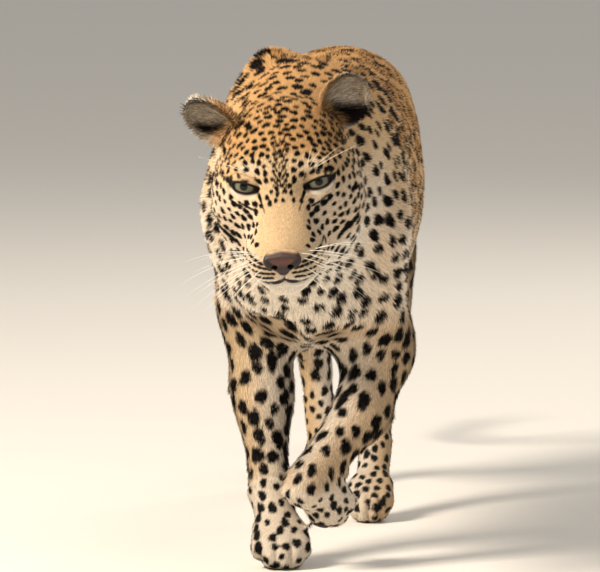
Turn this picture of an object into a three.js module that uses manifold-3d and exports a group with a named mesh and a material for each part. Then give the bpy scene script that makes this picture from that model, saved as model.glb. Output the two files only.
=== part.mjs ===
// A male leopard in a slow walk, life size, in millimetres.
// It faces -Y with the floor at z = 0. The left of the animal is +X.
// The right foreleg carries the weight, the left one swings past it, the left hind leg
// has just been set down under the belly and the right hind leg trails.
import * as THREE from "three";
import startSolids from "manifold-3d";

const solids = await startSolids();
solids.setup();

// Driving dimensions
const GAP = 0.3; // between parts that touch
const SHOULDER_BLADE_TOP = 621; // the higher, right one
const WITHERS = 596; // spine between the shoulder blades
const LOIN = 585;
const RUMP = 569;
const CHEST_FLOOR = 252; // underside of the chest
const BELLY_FLOOR = 292;
const RIB_HALF_WIDTH = 121;
const WAIST_HALF_WIDTH = 103;
const RUMP_Y = 862; // root of the tail
const HEAD_AT = [-13, -325, 472]; // midway between the eyes
const HEAD_TURN = 1; // degrees, towards the animal's left
const HEAD_DROOP = 21;
const HEAD_TILT = -4.5; // left side up
const HEAD_HALF_WIDTH = 86;
const HEAD_LENGTH_BACK = 99; // from the eyes to the cut behind the ears
const EYE_APART = 40; // eye centre from the midline of the face
const EYE_RADIUS = 17;
const EYE_OPENING = [35, 18]; // width and height between the lids
const NOSE_REACH = 100; // nose tip ahead of the eyes
const NOSE_WIDTH = 43;
const EAR_HEIGHT = 62;
const EAR_WIDTH = 60;
const EAR_WALL = 4.5;
const TOE_RADIUS = 14.5;
const FOOT_STEP = [9, 11, 10]; // grid of the feet
const LEG_STEP = [18, 21, 25]; // and of the legs above them
const TAIL_RADIUS = [31, 21, 17]; // root, middle and end

// The limbs, joint by joint, as [x, y, z]
const FORE = {
  right: {
    side: -1,
    blade: [-50, 6, SHOULDER_BLADE_TOP - 29],
    shoulder: [-76, -92, 425],
    elbow: [-72, 26, 296],
    arm: [-59, 6, 196],
    wrist: [-48, -34, 92],
    knuckles: [-33, -74, 34],
    toes: [-26, -122, 12.5],
  },
  left: {
    side: 1,
    blade: [50, 0, SHOULDER_BLADE_TOP - 54],
    shoulder: [76, -112, 412],
    elbow: [80, -4, 246],
    arm: [62, -56, 180],
    wrist: [0, -140, 106],
    knuckles: [20, -98, 86],
    toes: [38, -54, 72],
  },
};
const HIND = {
  right: {
    side: -1,
    hip: [-38, 704, 478],
    seat: [-36, 800, 466],
    knee: [-58, 604, 304],
    hock: [-42, 756, 146],
    knuckles: [-28, 716, 36],
    toes: [-24, 664, 12.5],
  },
  left: {
    side: 1,
    hip: [38, 690, 480],
    seat: [36, 790, 466],
    knee: [56, 548, 322],
    hock: [54, 476, 118],
    knuckles: [50, 388, 36],
    toes: [48, 334, 12.5],
  },
};

// Sections of the trunk from the chest to the rump: y, top, underside, half width
const TRUNK = [
  [-190, WITHERS - 26, 372, 84],
  [-130, WITHERS - 10, 306, 100],
  [-60, WITHERS, CHEST_FLOOR + 12, 112],
  [30, WITHERS, CHEST_FLOOR, 118],
  [150, WITHERS - 12, CHEST_FLOOR + 6, RIB_HALF_WIDTH],
  [300, LOIN - 6, BELLY_FLOOR - 20, RIB_HALF_WIDTH],
  [440, LOIN, BELLY_FLOOR + 4, WAIST_HALF_WIDTH + 8],
  [560, LOIN, BELLY_FLOOR + 34, WAIST_HALF_WIDTH],
  [680, RUMP + 6, BELLY_FLOOR + 60, WAIST_HALF_WIDTH - 17],
  [780, RUMP - 12, 400, 66],
  [RUMP_Y - 20, RUMP - 46, 436, 42],
];

// The middle line of the tail
const TAIL = [
  [0, RUMP_Y - 42, RUMP - 72],
  [0, RUMP_Y + 30, RUMP - 92],
  [6, RUMP_Y + 92, RUMP - 160],
  [14, RUMP_Y + 138, RUMP - 254],
  [18, RUMP_Y + 190, RUMP - 352],
  [10, RUMP_Y + 272, RUMP - 424],
  [-4, RUMP_Y + 362, RUMP - 436],
  [-14, RUMP_Y + 440, RUMP - 396],
  [-18, RUMP_Y + 486, RUMP - 346],
];

const clamp = THREE.MathUtils.clamp;
const lerp = THREE.MathUtils.lerp;
const rad = THREE.MathUtils.degToRad;

// Fields: each is negative inside its flesh and about the distance to it outside.

// A rod that tapers from radius ra at a to rb at b, stretched by `wide` along x, y and z.
function rod(a, b, ra, rb = ra, wide = [1, 1, 1]) {
  const from = a.map((v, i) => v / wide[i]);
  const run = b.map((v, i) => v / wide[i] - from[i]);
  const length2 = run[0] ** 2 + run[1] ** 2 + run[2] ** 2 || 1;
  const least = Math.min(...wide);
  return (x, y, z) => {
    const px = x / wide[0] - from[0];
    const py = y / wide[1] - from[1];
    const pz = z / wide[2] - from[2];
    const t = clamp((px * run[0] + py * run[1] + pz * run[2]) / length2, 0, 1);
    const far = Math.hypot(px - t * run[0], py - t * run[1], pz - t * run[2]);
    return (far - lerp(ra, rb, t)) * least;
  };
}

// A ball with its three radii along x, y and z.
function ball(at, [rx, ry, rz]) {
  const least = Math.min(rx, ry, rz);
  return (x, y, z) =>
    (Math.hypot((x - at[0]) / rx, (y - at[1]) / ry, (z - at[2]) / rz) - 1) * least;
}

// Fields run together with a fillet of about `soft`.
function fuse(soft, ...fields) {
  return (x, y, z) => {
    let sum = fields[0](x, y, z);
    for (let i = 1; i < fields.length; i++) {
      const next = fields[i](x, y, z);
      const near = Math.max(soft - Math.abs(sum - next), 0) / soft;
      sum = Math.min(sum, next) - (near * near * soft) / 4;
    }
    return sum;
  };
}

// A field with another cut out of it, the edge rounded by about `soft`.
function hollowed(soft, field, cut) {
  const rest = fuse(soft, (x, y, z) => -field(x, y, z), cut);
  return (x, y, z) => -rest(x, y, z);
}

// The value of one column of a table at y, on a smooth curve through its rows.
function along(table, y, column) {
  const last = table.length - 1;
  let i = 0;
  while (i < last - 1 && y > table[i + 1][0]) i++;
  const row = (k) => table[clamp(k, 0, last)];
  const [p0, p1, p2, p3] = [row(i - 1), row(i), row(i + 1), row(i + 2)];
  const t = clamp((y - p1[0]) / (p2[0] - p1[0]), 0, 1);
  const v = [p0, p1, p2, p3].map((p) => p[column]);
  return (
    v[1] +
    0.5 * t * (v[2] - v[0] + t * (2 * v[0] - 5 * v[1] + 4 * v[2] - v[3] +
      t * (3 * (v[1] - v[2]) + v[3] - v[0])))
  );
}

// The trunk: oval sections, a little flat at the sides.
function trunk(x, y, z) {
  const at = clamp(y, TRUNK[0][0], TRUNK[TRUNK.length - 1][0]);
  const top = along(TRUNK, at, 1);
  const under = along(TRUNK, at, 2);
  const half = along(TRUNK, at, 3);
  const tall = (top - under) / 2;
  const across = Math.abs(x) / half;
  const up = Math.abs(z - (top + under) / 2) / tall;
  const round = (across ** 2.1 + up ** 2.1) ** (1 / 2.1);
  return Math.hypot(Math.max((round - 1) * half, 0), y - at) || (round - 1) * half;
}

// Head, in its own frame: midway between the eyes, nose towards -y, crown up.
const head = (() => {
  const pair = (make) => [make(-1), make(1)];
  const skull = fuse(
    24,
    ball([0, 76, 2], [63, 84, 54]),
    ball([0, 16, 0], [50, 42, 32]),
    rod([0, 6, -12], [0, -78, -50], 21, 19, [1.5, 1, 1]),
    ...pair((s) => ball([s * (HEAD_HALF_WIDTH - 36), 44, -34], [36, 52, 40])),
    ...pair((s) => ball([s * 44, 66, -58], [36, 46, 42])),
    ball([0, -34, -62], [42, 52, 30]),
    ...pair((s) => rod([s * 14, -48, -88], [s * 40, 44, -88], 16, 24)),
  );
  const brows = pair((s) => rod([s * 17, -8, 13], [s * 50, 8, 17], 9, 7));
  const malars = pair((s) => ball([s * 42, 14, -22], [26, 30, 20]));
  const orbits = pair((s) => ball([s * 40, 12, 0], [24, 24, 21]));
  const pads = pair((s) => rod([s * 17, -82, -64], [s * 30, -56, -66], 19, 20, [1, 1, 0.95]));
  const chin = ball([0, -66, -92], [25, 27, 15]);
  const face = fuse(12, skull, ...orbits, ...malars, ...brows, ...pads, chin);
  const sockets = pair((s) => ball([s * 41, -20, 1], [19, 15, 11]));
  return hollowed(10, face, (x, y, z) => Math.min(...sockets.map((f) => f(x, y, z))));
})();

const headFrame = new THREE.Matrix4().compose(
  new THREE.Vector3(...HEAD_AT),
  new THREE.Quaternion().setFromEuler(
    new THREE.Euler(rad(HEAD_DROOP), rad(HEAD_TILT), rad(HEAD_TURN), "ZXY"),
  ),
  new THREE.Vector3(1, 1, 1),
);
const toHead = headFrame.clone().invert();
const fromHead = (x, y, z) =>
  new THREE.Vector3(x, y, z).applyMatrix4(headFrame).toArray();
const moved = new THREE.Vector3();
const headHere = (x, y, z) => {
  moved.set(x, y, z).applyMatrix4(toHead);
  return head(moved.x, moved.y, moved.z);
};

// A foot: pad, knuckles and four toes fanned about the line from the knuckles to the tips.
function foot({ knuckles, toes }, half) {
  const ahead = new THREE.Vector3(...toes).sub(new THREE.Vector3(...knuckles));
  const across = new THREE.Vector3(0, 0, 1).cross(ahead).normalize();
  const point = (base, sideways, back, lift) => {
    const p = new THREE.Vector3(...base).addScaledVector(across, sideways);
    return p.addScaledVector(ahead, -back).add(new THREE.Vector3(0, 0, lift)).toArray();
  };
  const spread = [-1, -0.36, 0.36, 1];
  const tips = spread.map((s) => {
    const back = 0.1 + 0.3 * s * s; // the outer toes are shorter
    return rod(
      point(toes, s * (half - TOE_RADIUS) * 0.82, back + 0.55, 9),
      point(toes, s * (half - TOE_RADIUS), back + 0.08, 0),
      TOE_RADIUS * 0.95,
      TOE_RADIUS,
    );
  });
  const palm = rod(
    point(knuckles, 0, -0.1, -18),
    point(knuckles, 0, -0.6, -17),
    half * 0.66,
    half * 0.6,
    [1, 1, 0.85],
  );
  return fuse(7, palm, ...tips);
}

function foreleg(leg) {
  const { side, blade, shoulder, elbow, arm, wrist, knuckles } = leg;
  const upper = fuse(
    40,
    rod(blade, shoulder, 24, 44, [0.86, 1, 1]),
    rod([blade[0], blade[1], blade[2] - 8], [blade[0] + side * 24, 16, blade[2] - 58], 18, 34),
    rod([side * 58, 40, 505], [side * 66, -20, 430], 38, 50, [0.8, 1, 1]),
    rod(shoulder, elbow, 44, 38),
    rod([side * 64, 56, 440], [elbow[0], elbow[1] + 8, elbow[2] + 20], 40, 33),
  );
  const thick = side < 0 ? 39 : 36; // the loaded forearm swells
  const lower = fuse(20, rod(elbow, arm, 40, thick), rod(arm, wrist, thick, 26));
  return fuse(
    16,
    fuse(30, upper, lower),
    rod(wrist, knuckles, 27, 26),
    foot(leg, side < 0 ? 39 : 33),
  );
}

function hindleg(leg) {
  const { hip, seat, knee, hock, knuckles } = leg;
  const thigh = fuse(
    50,
    rod(hip, knee, 74, 44, [0.66, 1, 1]),
    rod(seat, [knee[0] * 0.95, knee[1] + 56, knee[2] + 6], 46, 42, [0.72, 1, 1]),
  );
  const calf = [lerp(knee[0], hock[0], 0.35), lerp(knee[1], hock[1], 0.35) + 14,
    lerp(knee[2], hock[2], 0.35)];
  const heel = [hock[0], hock[1] + 16, hock[2] + 12];
  const shank = fuse(24, rod(knee, calf, 40, 35), rod(calf, hock, 35, 22),
    rod(calf, heel, 22, 15));
  return fuse(14, fuse(34, thigh, shank), rod(hock, knuckles, 23, 22), foot(leg, 34));
}

const neck = fuse(
  50,
  rod(fromHead(0, 96, -30), [-4, -70, 470], 74, 104, [0.92, 1, 1.06]),
  rod(fromHead(0, 40, -56), [-2, -110, 360], 52, 78, [0.94, 1, 1]),
);
const torso = fuse(44, trunk, neck);
const legs = [foreleg(FORE.right), foreleg(FORE.left), hindleg(HIND.right),
  hindleg(HIND.left)];
const body = fuse(26, torso, (x, y, z) => Math.min(...legs.map((leg) => leg(x, y, z))));
const whole = (x, y, z) => {
  const flesh = body(x, y, z);
  return y > -60 ? flesh : fuse(40, () => flesh, headHere)(x, y, z);
};

// Meshing

// Grid planes: [from, to, step] runs that follow one another.
function planes(...runs) {
  const out = [runs[0][0]];
  for (const [from, to, step] of runs) {
    const n = Math.max(1, Math.round((to - from) / step));
    for (let i = 1; i <= n; i++) out.push(lerp(from, to, i / n));
  }
  return out;
}

// The surface of a field on a grid: one vertex in each cell that it crosses, drawn onto
// the surface, and one pair of triangles round each grid edge that it crosses.
function net(field, xs, ys, zs) {
  const [nx, ny, nz] = [xs.length, ys.length, zs.length];
  const at = (i, j, k) => (i * ny + j) * nz + k;
  const value = new Float64Array(nx * ny * nz);
  for (let i = 0; i < nx; i++)
    for (let j = 0; j < ny; j++)
      for (let k = 0; k < nz; k++) {
        const rim = !i || !j || !k || i === nx - 1 || j === ny - 1 || k === nz - 1;
        const f = field(xs[i], ys[j], zs[k]);
        value[at(i, j, k)] = rim ? Math.max(f, 1) : f || 1e-6;
      }
  const points = [];
  const cell = new Map();
  const corners = [...Array(8).keys()].map((c) => [c & 1, (c >> 1) & 1, c >> 2]);
  const settle = (p, low, high) => {
    for (let step = 0; step < 3; step++) {
      const f = field(...p);
      const slope = [0, 1, 2].map((axis) => {
        const q = [...p];
        q[axis] += 0.5;
        return (field(...q) - f) / 0.5;
      });
      const steep = Math.max(slope[0] ** 2 + slope[1] ** 2 + slope[2] ** 2, 0.1);
      for (let axis = 0; axis < 3; axis++) {
        const room = (high[axis] - low[axis]) * 0.04;
        p[axis] = clamp(p[axis] - (f * slope[axis]) / steep,
          low[axis] + room, high[axis] - room);
      }
    }
  };
  for (let i = 0; i + 1 < nx; i++)
    for (let j = 0; j + 1 < ny; j++)
      for (let k = 0; k + 1 < nz; k++) {
        const v = corners.map(([a, b, c]) => value[at(i + a, j + b, k + c)]);
        if (v.every((f) => f > 0) || v.every((f) => f < 0)) continue;
        // Each patch of flesh in the cell has a vertex of its own.
        const patch = corners.map((_, c) => c);
        for (let pass = 0; pass < 4; pass++)
          for (let p = 0; p < 8; p++)
            for (let bit = 1; bit < 8; bit <<= 1)
              if (v[p] < 0 && v[p ^ bit] < 0)
                patch[p] = patch[p ^ bit] = Math.min(patch[p], patch[p ^ bit]);
        const low = [xs[i], ys[j], zs[k]];
        const high = [xs[i + 1], ys[j + 1], zs[k + 1]];
        const rim = !i || !j || !k || i + 2 === nx || j + 2 === ny || k + 2 === nz;
        const made = new Map();
        for (let p = 0; p < 8; p++) {
          if (v[p] > 0) continue;
          for (let bit = 1; bit < 8; bit <<= 1) {
            const q = p ^ bit;
            if (v[q] < 0) continue;
            const sum = made.get(patch[p]) || [0, 0, 0, 0];
            const t = v[p] / (v[p] - v[q]);
            const [a, b] = [corners[p], corners[q]];
            sum[0] += lerp(xs[i + a[0]], xs[i + b[0]], t);
            sum[1] += lerp(ys[j + a[1]], ys[j + b[1]], t);
            sum[2] += lerp(zs[k + a[2]], zs[k + b[2]], t);
            sum[3]++;
            made.set(patch[p], sum);
          }
        }
        const index = {};
        for (const [name, sum] of made) {
          const p = [sum[0] / sum[3], sum[1] / sum[3], sum[2] / sum[3]];
          if (!rim) settle(p, low, high);
          index[name] = points.length / 3;
          points.push(...p);
        }
        cell.set(at(i, j, k), patch.map((name) => index[name]));
      }
  const faces = [];
  const far = (a, b) => Math.hypot(points[3 * a] - points[3 * b],
    points[3 * a + 1] - points[3 * b + 1], points[3 * a + 2] - points[3 * b + 2]);
  const quad = (a, b, c, d) =>
    far(a, c) < far(b, d) ? faces.push(a, b, c, a, c, d) : faces.push(b, c, d, b, d, a);
  for (let i = 0; i + 1 < nx; i++)
    for (let j = 0; j + 1 < ny; j++)
      for (let k = 0; k + 1 < nz; k++) {
        const here = value[at(i, j, k)];
        const round = [
          [[1, 0, 0], [0, 1, 0], [0, 0, 1]],
          [[0, 1, 0], [0, 0, 1], [1, 0, 0]],
          [[0, 0, 1], [1, 0, 0], [0, 1, 0]],
        ];
        for (const [e, u, w] of round) {
          if ([i, j, k].some((n, axis) => !n && !e[axis])) continue;
          const there = value[at(i + e[0], j + e[1], k + e[2])];
          if (here > 0 === there > 0) continue;
          const inner = here < 0 ? [i, j, k] : [i + e[0], j + e[1], k + e[2]];
          const corner = (s, t) => {
            const low = [i - s * u[0] - t * w[0], j - s * u[1] - t * w[1],
              k - s * u[2] - t * w[2]];
            const c = inner.map((n, axis) => n - low[axis]);
            return cell.get(at(...low))[c[0] + 2 * c[1] + 4 * c[2]];
          };
          const four = [corner(0, 0), corner(1, 0), corner(1, 1), corner(0, 1)];
          if (here > 0) four.reverse();
          quad(...four);
        }
      }
  return new THREE.BufferGeometry()
    .setAttribute("position", new THREE.Float32BufferAttribute(points, 3))
    .setIndex(faces);
}

// Solids from geometries and back
function solid(geometry, matrix) {
  const g = geometry.index ? geometry.clone() : indexed(geometry);
  if (matrix) g.applyMatrix4(matrix);
  const mesh = new solids.Mesh({
    numProp: 3,
    vertProperties: Float32Array.from(g.attributes.position.array),
    triVerts: Uint32Array.from(g.index.array),
  });
  mesh.merge();
  return new solids.Manifold(mesh);
}

function indexed(geometry) {
  const n = geometry.attributes.position.count;
  return geometry.clone().setIndex([...Array(n).keys()]);
}

function geometryOf(manifold) {
  const mesh = manifold.getMesh();
  const points = [];
  for (let i = 0; i < mesh.numVert; i++) {
    const at = i * mesh.numProp;
    points.push(...mesh.vertProperties.slice(at, at + 3));
  }
  return new THREE.BufferGeometry()
    .setAttribute("position", new THREE.Float32BufferAttribute(points, 3))
    .setIndex([...mesh.triVerts]);
}

// A box between two corners, as a solid, with an optional matrix.
function block(low, high, matrix) {
  const size = high.map((v, i) => v - low[i]);
  const box = new THREE.BoxGeometry(...size);
  box.translate(...low.map((v, i) => v + size[i] / 2));
  for (const name of ["uv", "normal"]) box.deleteAttribute(name);
  return solid(box, matrix);
}

// The same surface, pushed out by d.
function grown(geometry, d) {
  const g = geometry.clone();
  g.computeVertexNormals();
  const { position, normal } = g.attributes;
  for (let i = 0; i < position.count; i++)
    position.setXYZ(i, position.getX(i) + d * normal.getX(i),
      position.getY(i) + d * normal.getY(i), position.getZ(i) + d * normal.getZ(i));
  g.deleteAttribute("normal");
  return g;
}

// A round bar along a curve, its radius given by a function of the way along.
function bar(curve, radius, rings, sides) {
  const frames = curve.computeFrenetFrames(rings, false);
  const points = [];
  const faces = [];
  const ring = (u, along01) => {
    const centre = curve.getPointAt(clamp(u, 0, 1));
    const r = radius(u);
    const i = Math.round(clamp(along01, 0, 1) * rings);
    for (let s = 0; s < sides; s++) {
      const turn = (2 * Math.PI * s) / sides;
      const p = centre.clone()
        .addScaledVector(frames.normals[i], r * Math.cos(turn))
        .addScaledVector(frames.binormals[i], r * Math.sin(turn));
      points.push(...p.toArray());
    }
  };
  for (let i = 0; i <= rings; i++) ring(i / rings, i / rings);
  for (let i = 0; i < rings; i++)
    for (let s = 0; s < sides; s++) {
      const [a, b] = [i * sides + s, i * sides + ((s + 1) % sides)];
      faces.push(a, b, a + sides, b, b + sides, a + sides);
    }
  for (const [end, flip] of [[0, true], [rings, false]]) {
    const centre = points.length / 3;
    points.push(...curve.getPointAt(end / rings).toArray());
    for (let s = 0; s < sides; s++) {
      const [a, b] = [end * sides + s, end * sides + ((s + 1) % sides)];
      faces.push(...(flip ? [centre, b, a] : [centre, a, b]));
    }
  }
  return new THREE.BufferGeometry()
    .setAttribute("position", new THREE.Float32BufferAttribute(points, 3))
    .setIndex(faces);
}

// A ball with its three radii, as a geometry.
function egg([rx, ry, rz], across = 16, down = 10) {
  const g = new THREE.SphereGeometry(1, across, down);
  for (const name of ["uv", "normal"]) g.deleteAttribute(name);
  return g.scale(rx, ry, rz);
}

const place = (x, y, z, rx = 0, ry = 0, rz = 0) =>
  new THREE.Matrix4().compose(
    new THREE.Vector3(x, y, z),
    new THREE.Quaternion().setFromEuler(new THREE.Euler(rad(rx), rad(ry), rad(rz), "ZXY")),
    new THREE.Vector3(1, 1, 1),
  );

// The parts
const leopard = new THREE.Group();
leopard.name = "leopard";
const coat = { color: 0xc99a5b, roughness: 0.9 };

// Adds a part: the largest closed surface of the solid that it is given.
function add(name, manifold, look = coat) {
  const pieces = manifold.decompose().sort((a, b) => b.volume() - a.volume());
  const mesh = new THREE.Mesh(geometryOf(pieces[0]), new THREE.MeshStandardMaterial(look));
  mesh.name = name;
  leopard.add(mesh);
}

// Splits a solid with a plane through `at`, square to `along`, and leaves the gap.
function split(manifold, at, along) {
  const toward = new THREE.Vector3(...along).normalize();
  const matrix = new THREE.Matrix4().makeRotationFromQuaternion(
    new THREE.Quaternion().setFromUnitVectors(new THREE.Vector3(0, 0, 1), toward),
  );
  matrix.setPosition(...at);
  const ahead = block([-900, -900, GAP / 2], [900, 900, 1900], matrix);
  const behind = block([-900, -900, -1900], [900, 900, -GAP / 2], matrix);
  return [manifold.intersect(behind), manifold.intersect(ahead)];
}

// Head: its own, finer net, from the nose to behind the ears
const headNet = net(
  (x, y, z) => {
    const at = fromHead(x, y, z);
    return whole(...at);
  },
  planes([-110, 110, 11]),
  planes([-118, -22, 9.6], [-22, 154, 17.6]),
  planes([-172, -100, 14], [-100, -30, 10], [-30, 90, 13.5]),
);
const headTool = solid(grown(headNet, 0.4), headFrame);
let skull = solid(headNet);

// The mouth line runs from the cleft below the nose back to the corners of the mouth.
const outward = new THREE.Vector3();
function onFace(x, y, z) {
  // Walks the point to the surface of the face, straight away from the middle of the muzzle.
  const middle = new THREE.Vector3(x * 0.3, y * 0.3 - 20, z);
  outward.set(x, y, z).sub(middle).normalize();
  let reach = 0;
  for (let step = 0; step < 60 && head(middle.x + outward.x * reach,
    middle.y + outward.y * reach, z) < 0; step++) reach += 1.5;
  return middle.addScaledVector(outward, reach - 0.8);
}
const mouth = [];
for (let turn = -1; turn <= 1; turn += 0.125) {
  const dip = 26 * Math.abs(turn) * (1 - Math.abs(turn));
  mouth.push(onFace(46 * turn, -100 + 64 * turn * turn, -82 - dip + 6 * turn * turn));
}
const mouthLine = new THREE.CatmullRomCurve3(mouth);
const cleft = new THREE.CatmullRomCurve3([-66, -72, -78, -84].map((z) => onFace(0, -100, z)));
skull = skull.add(solid(bar(mouthLine, (u) => 4.4 - 2.2 * Math.abs(2 * u - 1), 20, 5)));
skull = skull.subtract(solid(bar(mouthLine, () => 1.5, 20, 4)));
skull = skull.subtract(solid(bar(cleft, () => 1.4, 5, 5)));

// Eyes with their lids: a shell round each eyeball with an almond opening
const almond = (() => {
  const [w, h] = EYE_OPENING.map((v) => v / 2);
  const shape = new THREE.Shape();
  shape.moveTo(-w, -1);
  shape.bezierCurveTo(-w * 0.5, h * 0.9, w * 0.4, h * 1.1, w, 1.5);
  shape.bezierCurveTo(w * 0.5, -h * 1.1, -w * 0.4, -h * 1.3, -w, -1);
  const g = new THREE.ExtrudeGeometry(shape, { depth: 30, bevelEnabled: false, curveSegments: 6 });
  for (const name of ["uv", "normal"]) g.deleteAttribute(name);
  return indexed(g);
})();
// The edge of both lids: a thin round rim laid on the eyeball along the almond.
function lidEdge(s, at) {
  const [w, h] = EYE_OPENING.map((v) => v / 2 + 1);
  const look = place(0, 0, 0, 90, 0, s * 16).multiply(place(0, 0, 0, 0, 0, s * 10));
  const rim = [];
  for (let i = 0; i < 20; i++) {
    const turn = (2 * Math.PI * i) / 20;
    const p = new THREE.Vector3(-s * w * Math.cos(turn), h * Math.sin(turn) * 0.96, 0);
    p.z = Math.sqrt(Math.max((EYE_RADIUS + 2.4) ** 2 - p.x ** 2 - p.y ** 2, 30));
    rim.push(p.applyMatrix4(look).add(new THREE.Vector3(...at)));
  }
  const tube = new THREE.TubeGeometry(new THREE.CatmullRomCurve3(rim, true), 24, 2.1, 5, true);
  for (const name of ["uv", "normal"]) tube.deleteAttribute(name);
  return tube;
}
const eyes = {};
for (const [name, s] of [["right", -1], ["left", 1]]) {
  const at = [s * EYE_APART, 2, 0];
  const ballAt = place(...at);
  const lids = solid(egg([EYE_RADIUS + 3.4, EYE_RADIUS + 3.4, EYE_RADIUS + 2], 16, 10), ballAt);
  // The opening looks ahead and a little outward; its outer corner is the higher one.
  const look = place(...at, 90, 0, s * 16).multiply(place(0, 0, 0, 0, 0, s * 10))
    .multiply(new THREE.Matrix4().makeScale(s, 1, 1));
  const open = almond.clone().applyMatrix4(look);
  if (s < 0) {
    const ix = open.index.array;
    for (let i = 0; i < ix.length; i += 3) [ix[i], ix[i + 1]] = [ix[i + 1], ix[i]];
  }
  skull = skull.add(lids).add(solid(lidEdge(s, at)));
  skull = skull.subtract(solid(open));
  skull = skull.subtract(solid(egg(Array(3).fill(EYE_RADIUS + GAP), 16, 10), ballAt));
  eyes[name] = solid(egg(Array(3).fill(EYE_RADIUS), 16, 10), ballAt).transform(headFrame.elements);
}

// Nose leather: a shield on the tip of the muzzle, its nostrils open forward and outward
const shield = new THREE.Shape();
const noseHalf = NOSE_WIDTH / 2 - 3;
shield.moveTo(0, 8);
shield.quadraticCurveTo(noseHalf * 0.6, 9, noseHalf * 0.86, 5);
shield.quadraticCurveTo(noseHalf * 1.12, 0, noseHalf * 0.92, -6);
shield.quadraticCurveTo(noseHalf * 0.42, -8, 2, -15);
shield.lineTo(-2, -15);
shield.quadraticCurveTo(-noseHalf * 0.42, -8, -noseHalf * 0.92, -6);
shield.quadraticCurveTo(-noseHalf * 1.12, 0, -noseHalf * 0.86, 5);
shield.quadraticCurveTo(-noseHalf * 0.6, 9, 0, 8);
const leather = new THREE.ExtrudeGeometry(shield, {
  depth: 14,
  curveSegments: 4,
  bevelThickness: 3,
  bevelSize: 3,
  bevelSegments: 2,
});
for (const name of ["uv", "normal"]) leather.deleteAttribute(name);
let nose = solid(indexed(leather), place(0, -NOSE_REACH + 12, -53, 90 - 18));
nose = nose.intersect(solid(egg([38, 23, 28], 18, 12), place(0, -NOSE_REACH + 14, -56)));
for (const s of [-1, 1]) {
  nose = nose.subtract(solid(egg([4.6, 8, 3.4], 10, 6),
    place(s * 9.5, -NOSE_REACH - 5, -56, -10, s * 28, s * 24)));
  nose = nose.subtract(solid(egg([7, 7, 1.7], 8, 5),
    place(s * 17.5, -NOSE_REACH, -55.5, -10, -s * 16, s * 40)));
}
nose = nose.transform(headFrame.elements).subtract(headTool);

skull = skull.transform(headFrame.elements);
const nape = [0, HEAD_AT[1] + HEAD_LENGTH_BACK, 0];
add("head", split(skull, nape, [0, 1, 0])[0]);
for (const name of ["right", "left"])
  add("eye_" + name, eyes[name], { color: 0x9aa46c, roughness: 0.1 });
add("nose", nose, { color: 0xa9705c, roughness: 0.5 });

// Ears: a cup on each back corner of the crown. The right one is laid out sideways.
for (const [name, at, tip, open] of [
  ["right", [-59, 86, 29], [-0.8, 0.2, 0.58], [-0.35, -0.9, -0.25]],
  ["left", [62, 92, 31], [0.42, 0.16, 1], [0.3, -1, 0.1]],
]) {
  const up = new THREE.Vector3(...tip).normalize();
  const across = up.clone().cross(new THREE.Vector3(...open)).normalize();
  const back = up.clone().cross(across);
  const frame = headFrame.clone().multiply(
    new THREE.Matrix4().makeBasis(across, back, up).setPosition(...at));
  const [w, h] = [EAR_WIDTH / 2, EAR_HEIGHT];
  let cup = solid(egg([w, 17, h * 0.58], 16, 10), place(0, 0, h * 0.42));
  cup = cup.subtract(solid(egg([w - EAR_WALL, 17, h * 0.58 - EAR_WALL], 14, 9),
    place(0, -7.5, h * 0.45)));
  cup = cup.subtract(block([-60, -60, -20], [60, -6, 120]));
  cup = cup.transform(frame.elements).subtract(headTool);
  add("ear_" + name, cup, { color: 0x8a6a44, roughness: 0.9 });
}

// Trunk with the tops of the legs, down to below the belly
const fleshNet = net(
  whole,
  planes([-168, 168, 22.4]),
  planes([-270, -180, 25], [-180, 60, 26], [60, 320, 43], [320, 800, 34], [800, 930, 30]),
  planes([CHEST_FLOOR - 52, 660, 30]),
);
const fleshTool = solid(grown(fleshNet, 0.4));
let flesh = split(solid(fleshNet), nape, [0, 1, 0])[1];
flesh = flesh.subtract(block([-400, -900, -200], [400, 400, CHEST_FLOOR - 36 + GAP]));
flesh = flesh.subtract(block([-400, 399, -200], [400, 1500, BELLY_FLOOR - 6 + GAP]));

// The root of each leg is parted from the trunk along the faces of a box.
const direction = (from, to) =>
  new THREE.Vector3(...to).sub(new THREE.Vector3(...from)).normalize();
function rootBox(inner, front, back, top) {
  const x = [inner, Math.sign(inner) * 240].sort((p, q) => p - q);
  return [[x[0], front, CHEST_FLOOR - 36], [x[1], back, top]];
}
function wholeLeg(field, joints, [low, high]) {
  const reach = 66;
  const span = (axis) => {
    const at = joints.map((p) => p[axis]);
    return [Math.min(...at) - reach, Math.max(...at) + reach];
  };
  const made = solid(net(
    fuse(26, torso, field),
    planes([...span(0), LEG_STEP[0]]),
    planes([...span(1), LEG_STEP[1]]),
    planes([-24, high[2] + 24, LEG_STEP[2]]),
  ));
  const below = block([-400, -900, -200], [400, 1500, low[2]]);
  return made.intersect(block([low[0], low[1], low[2] - 1], high).add(below));
}

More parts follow.
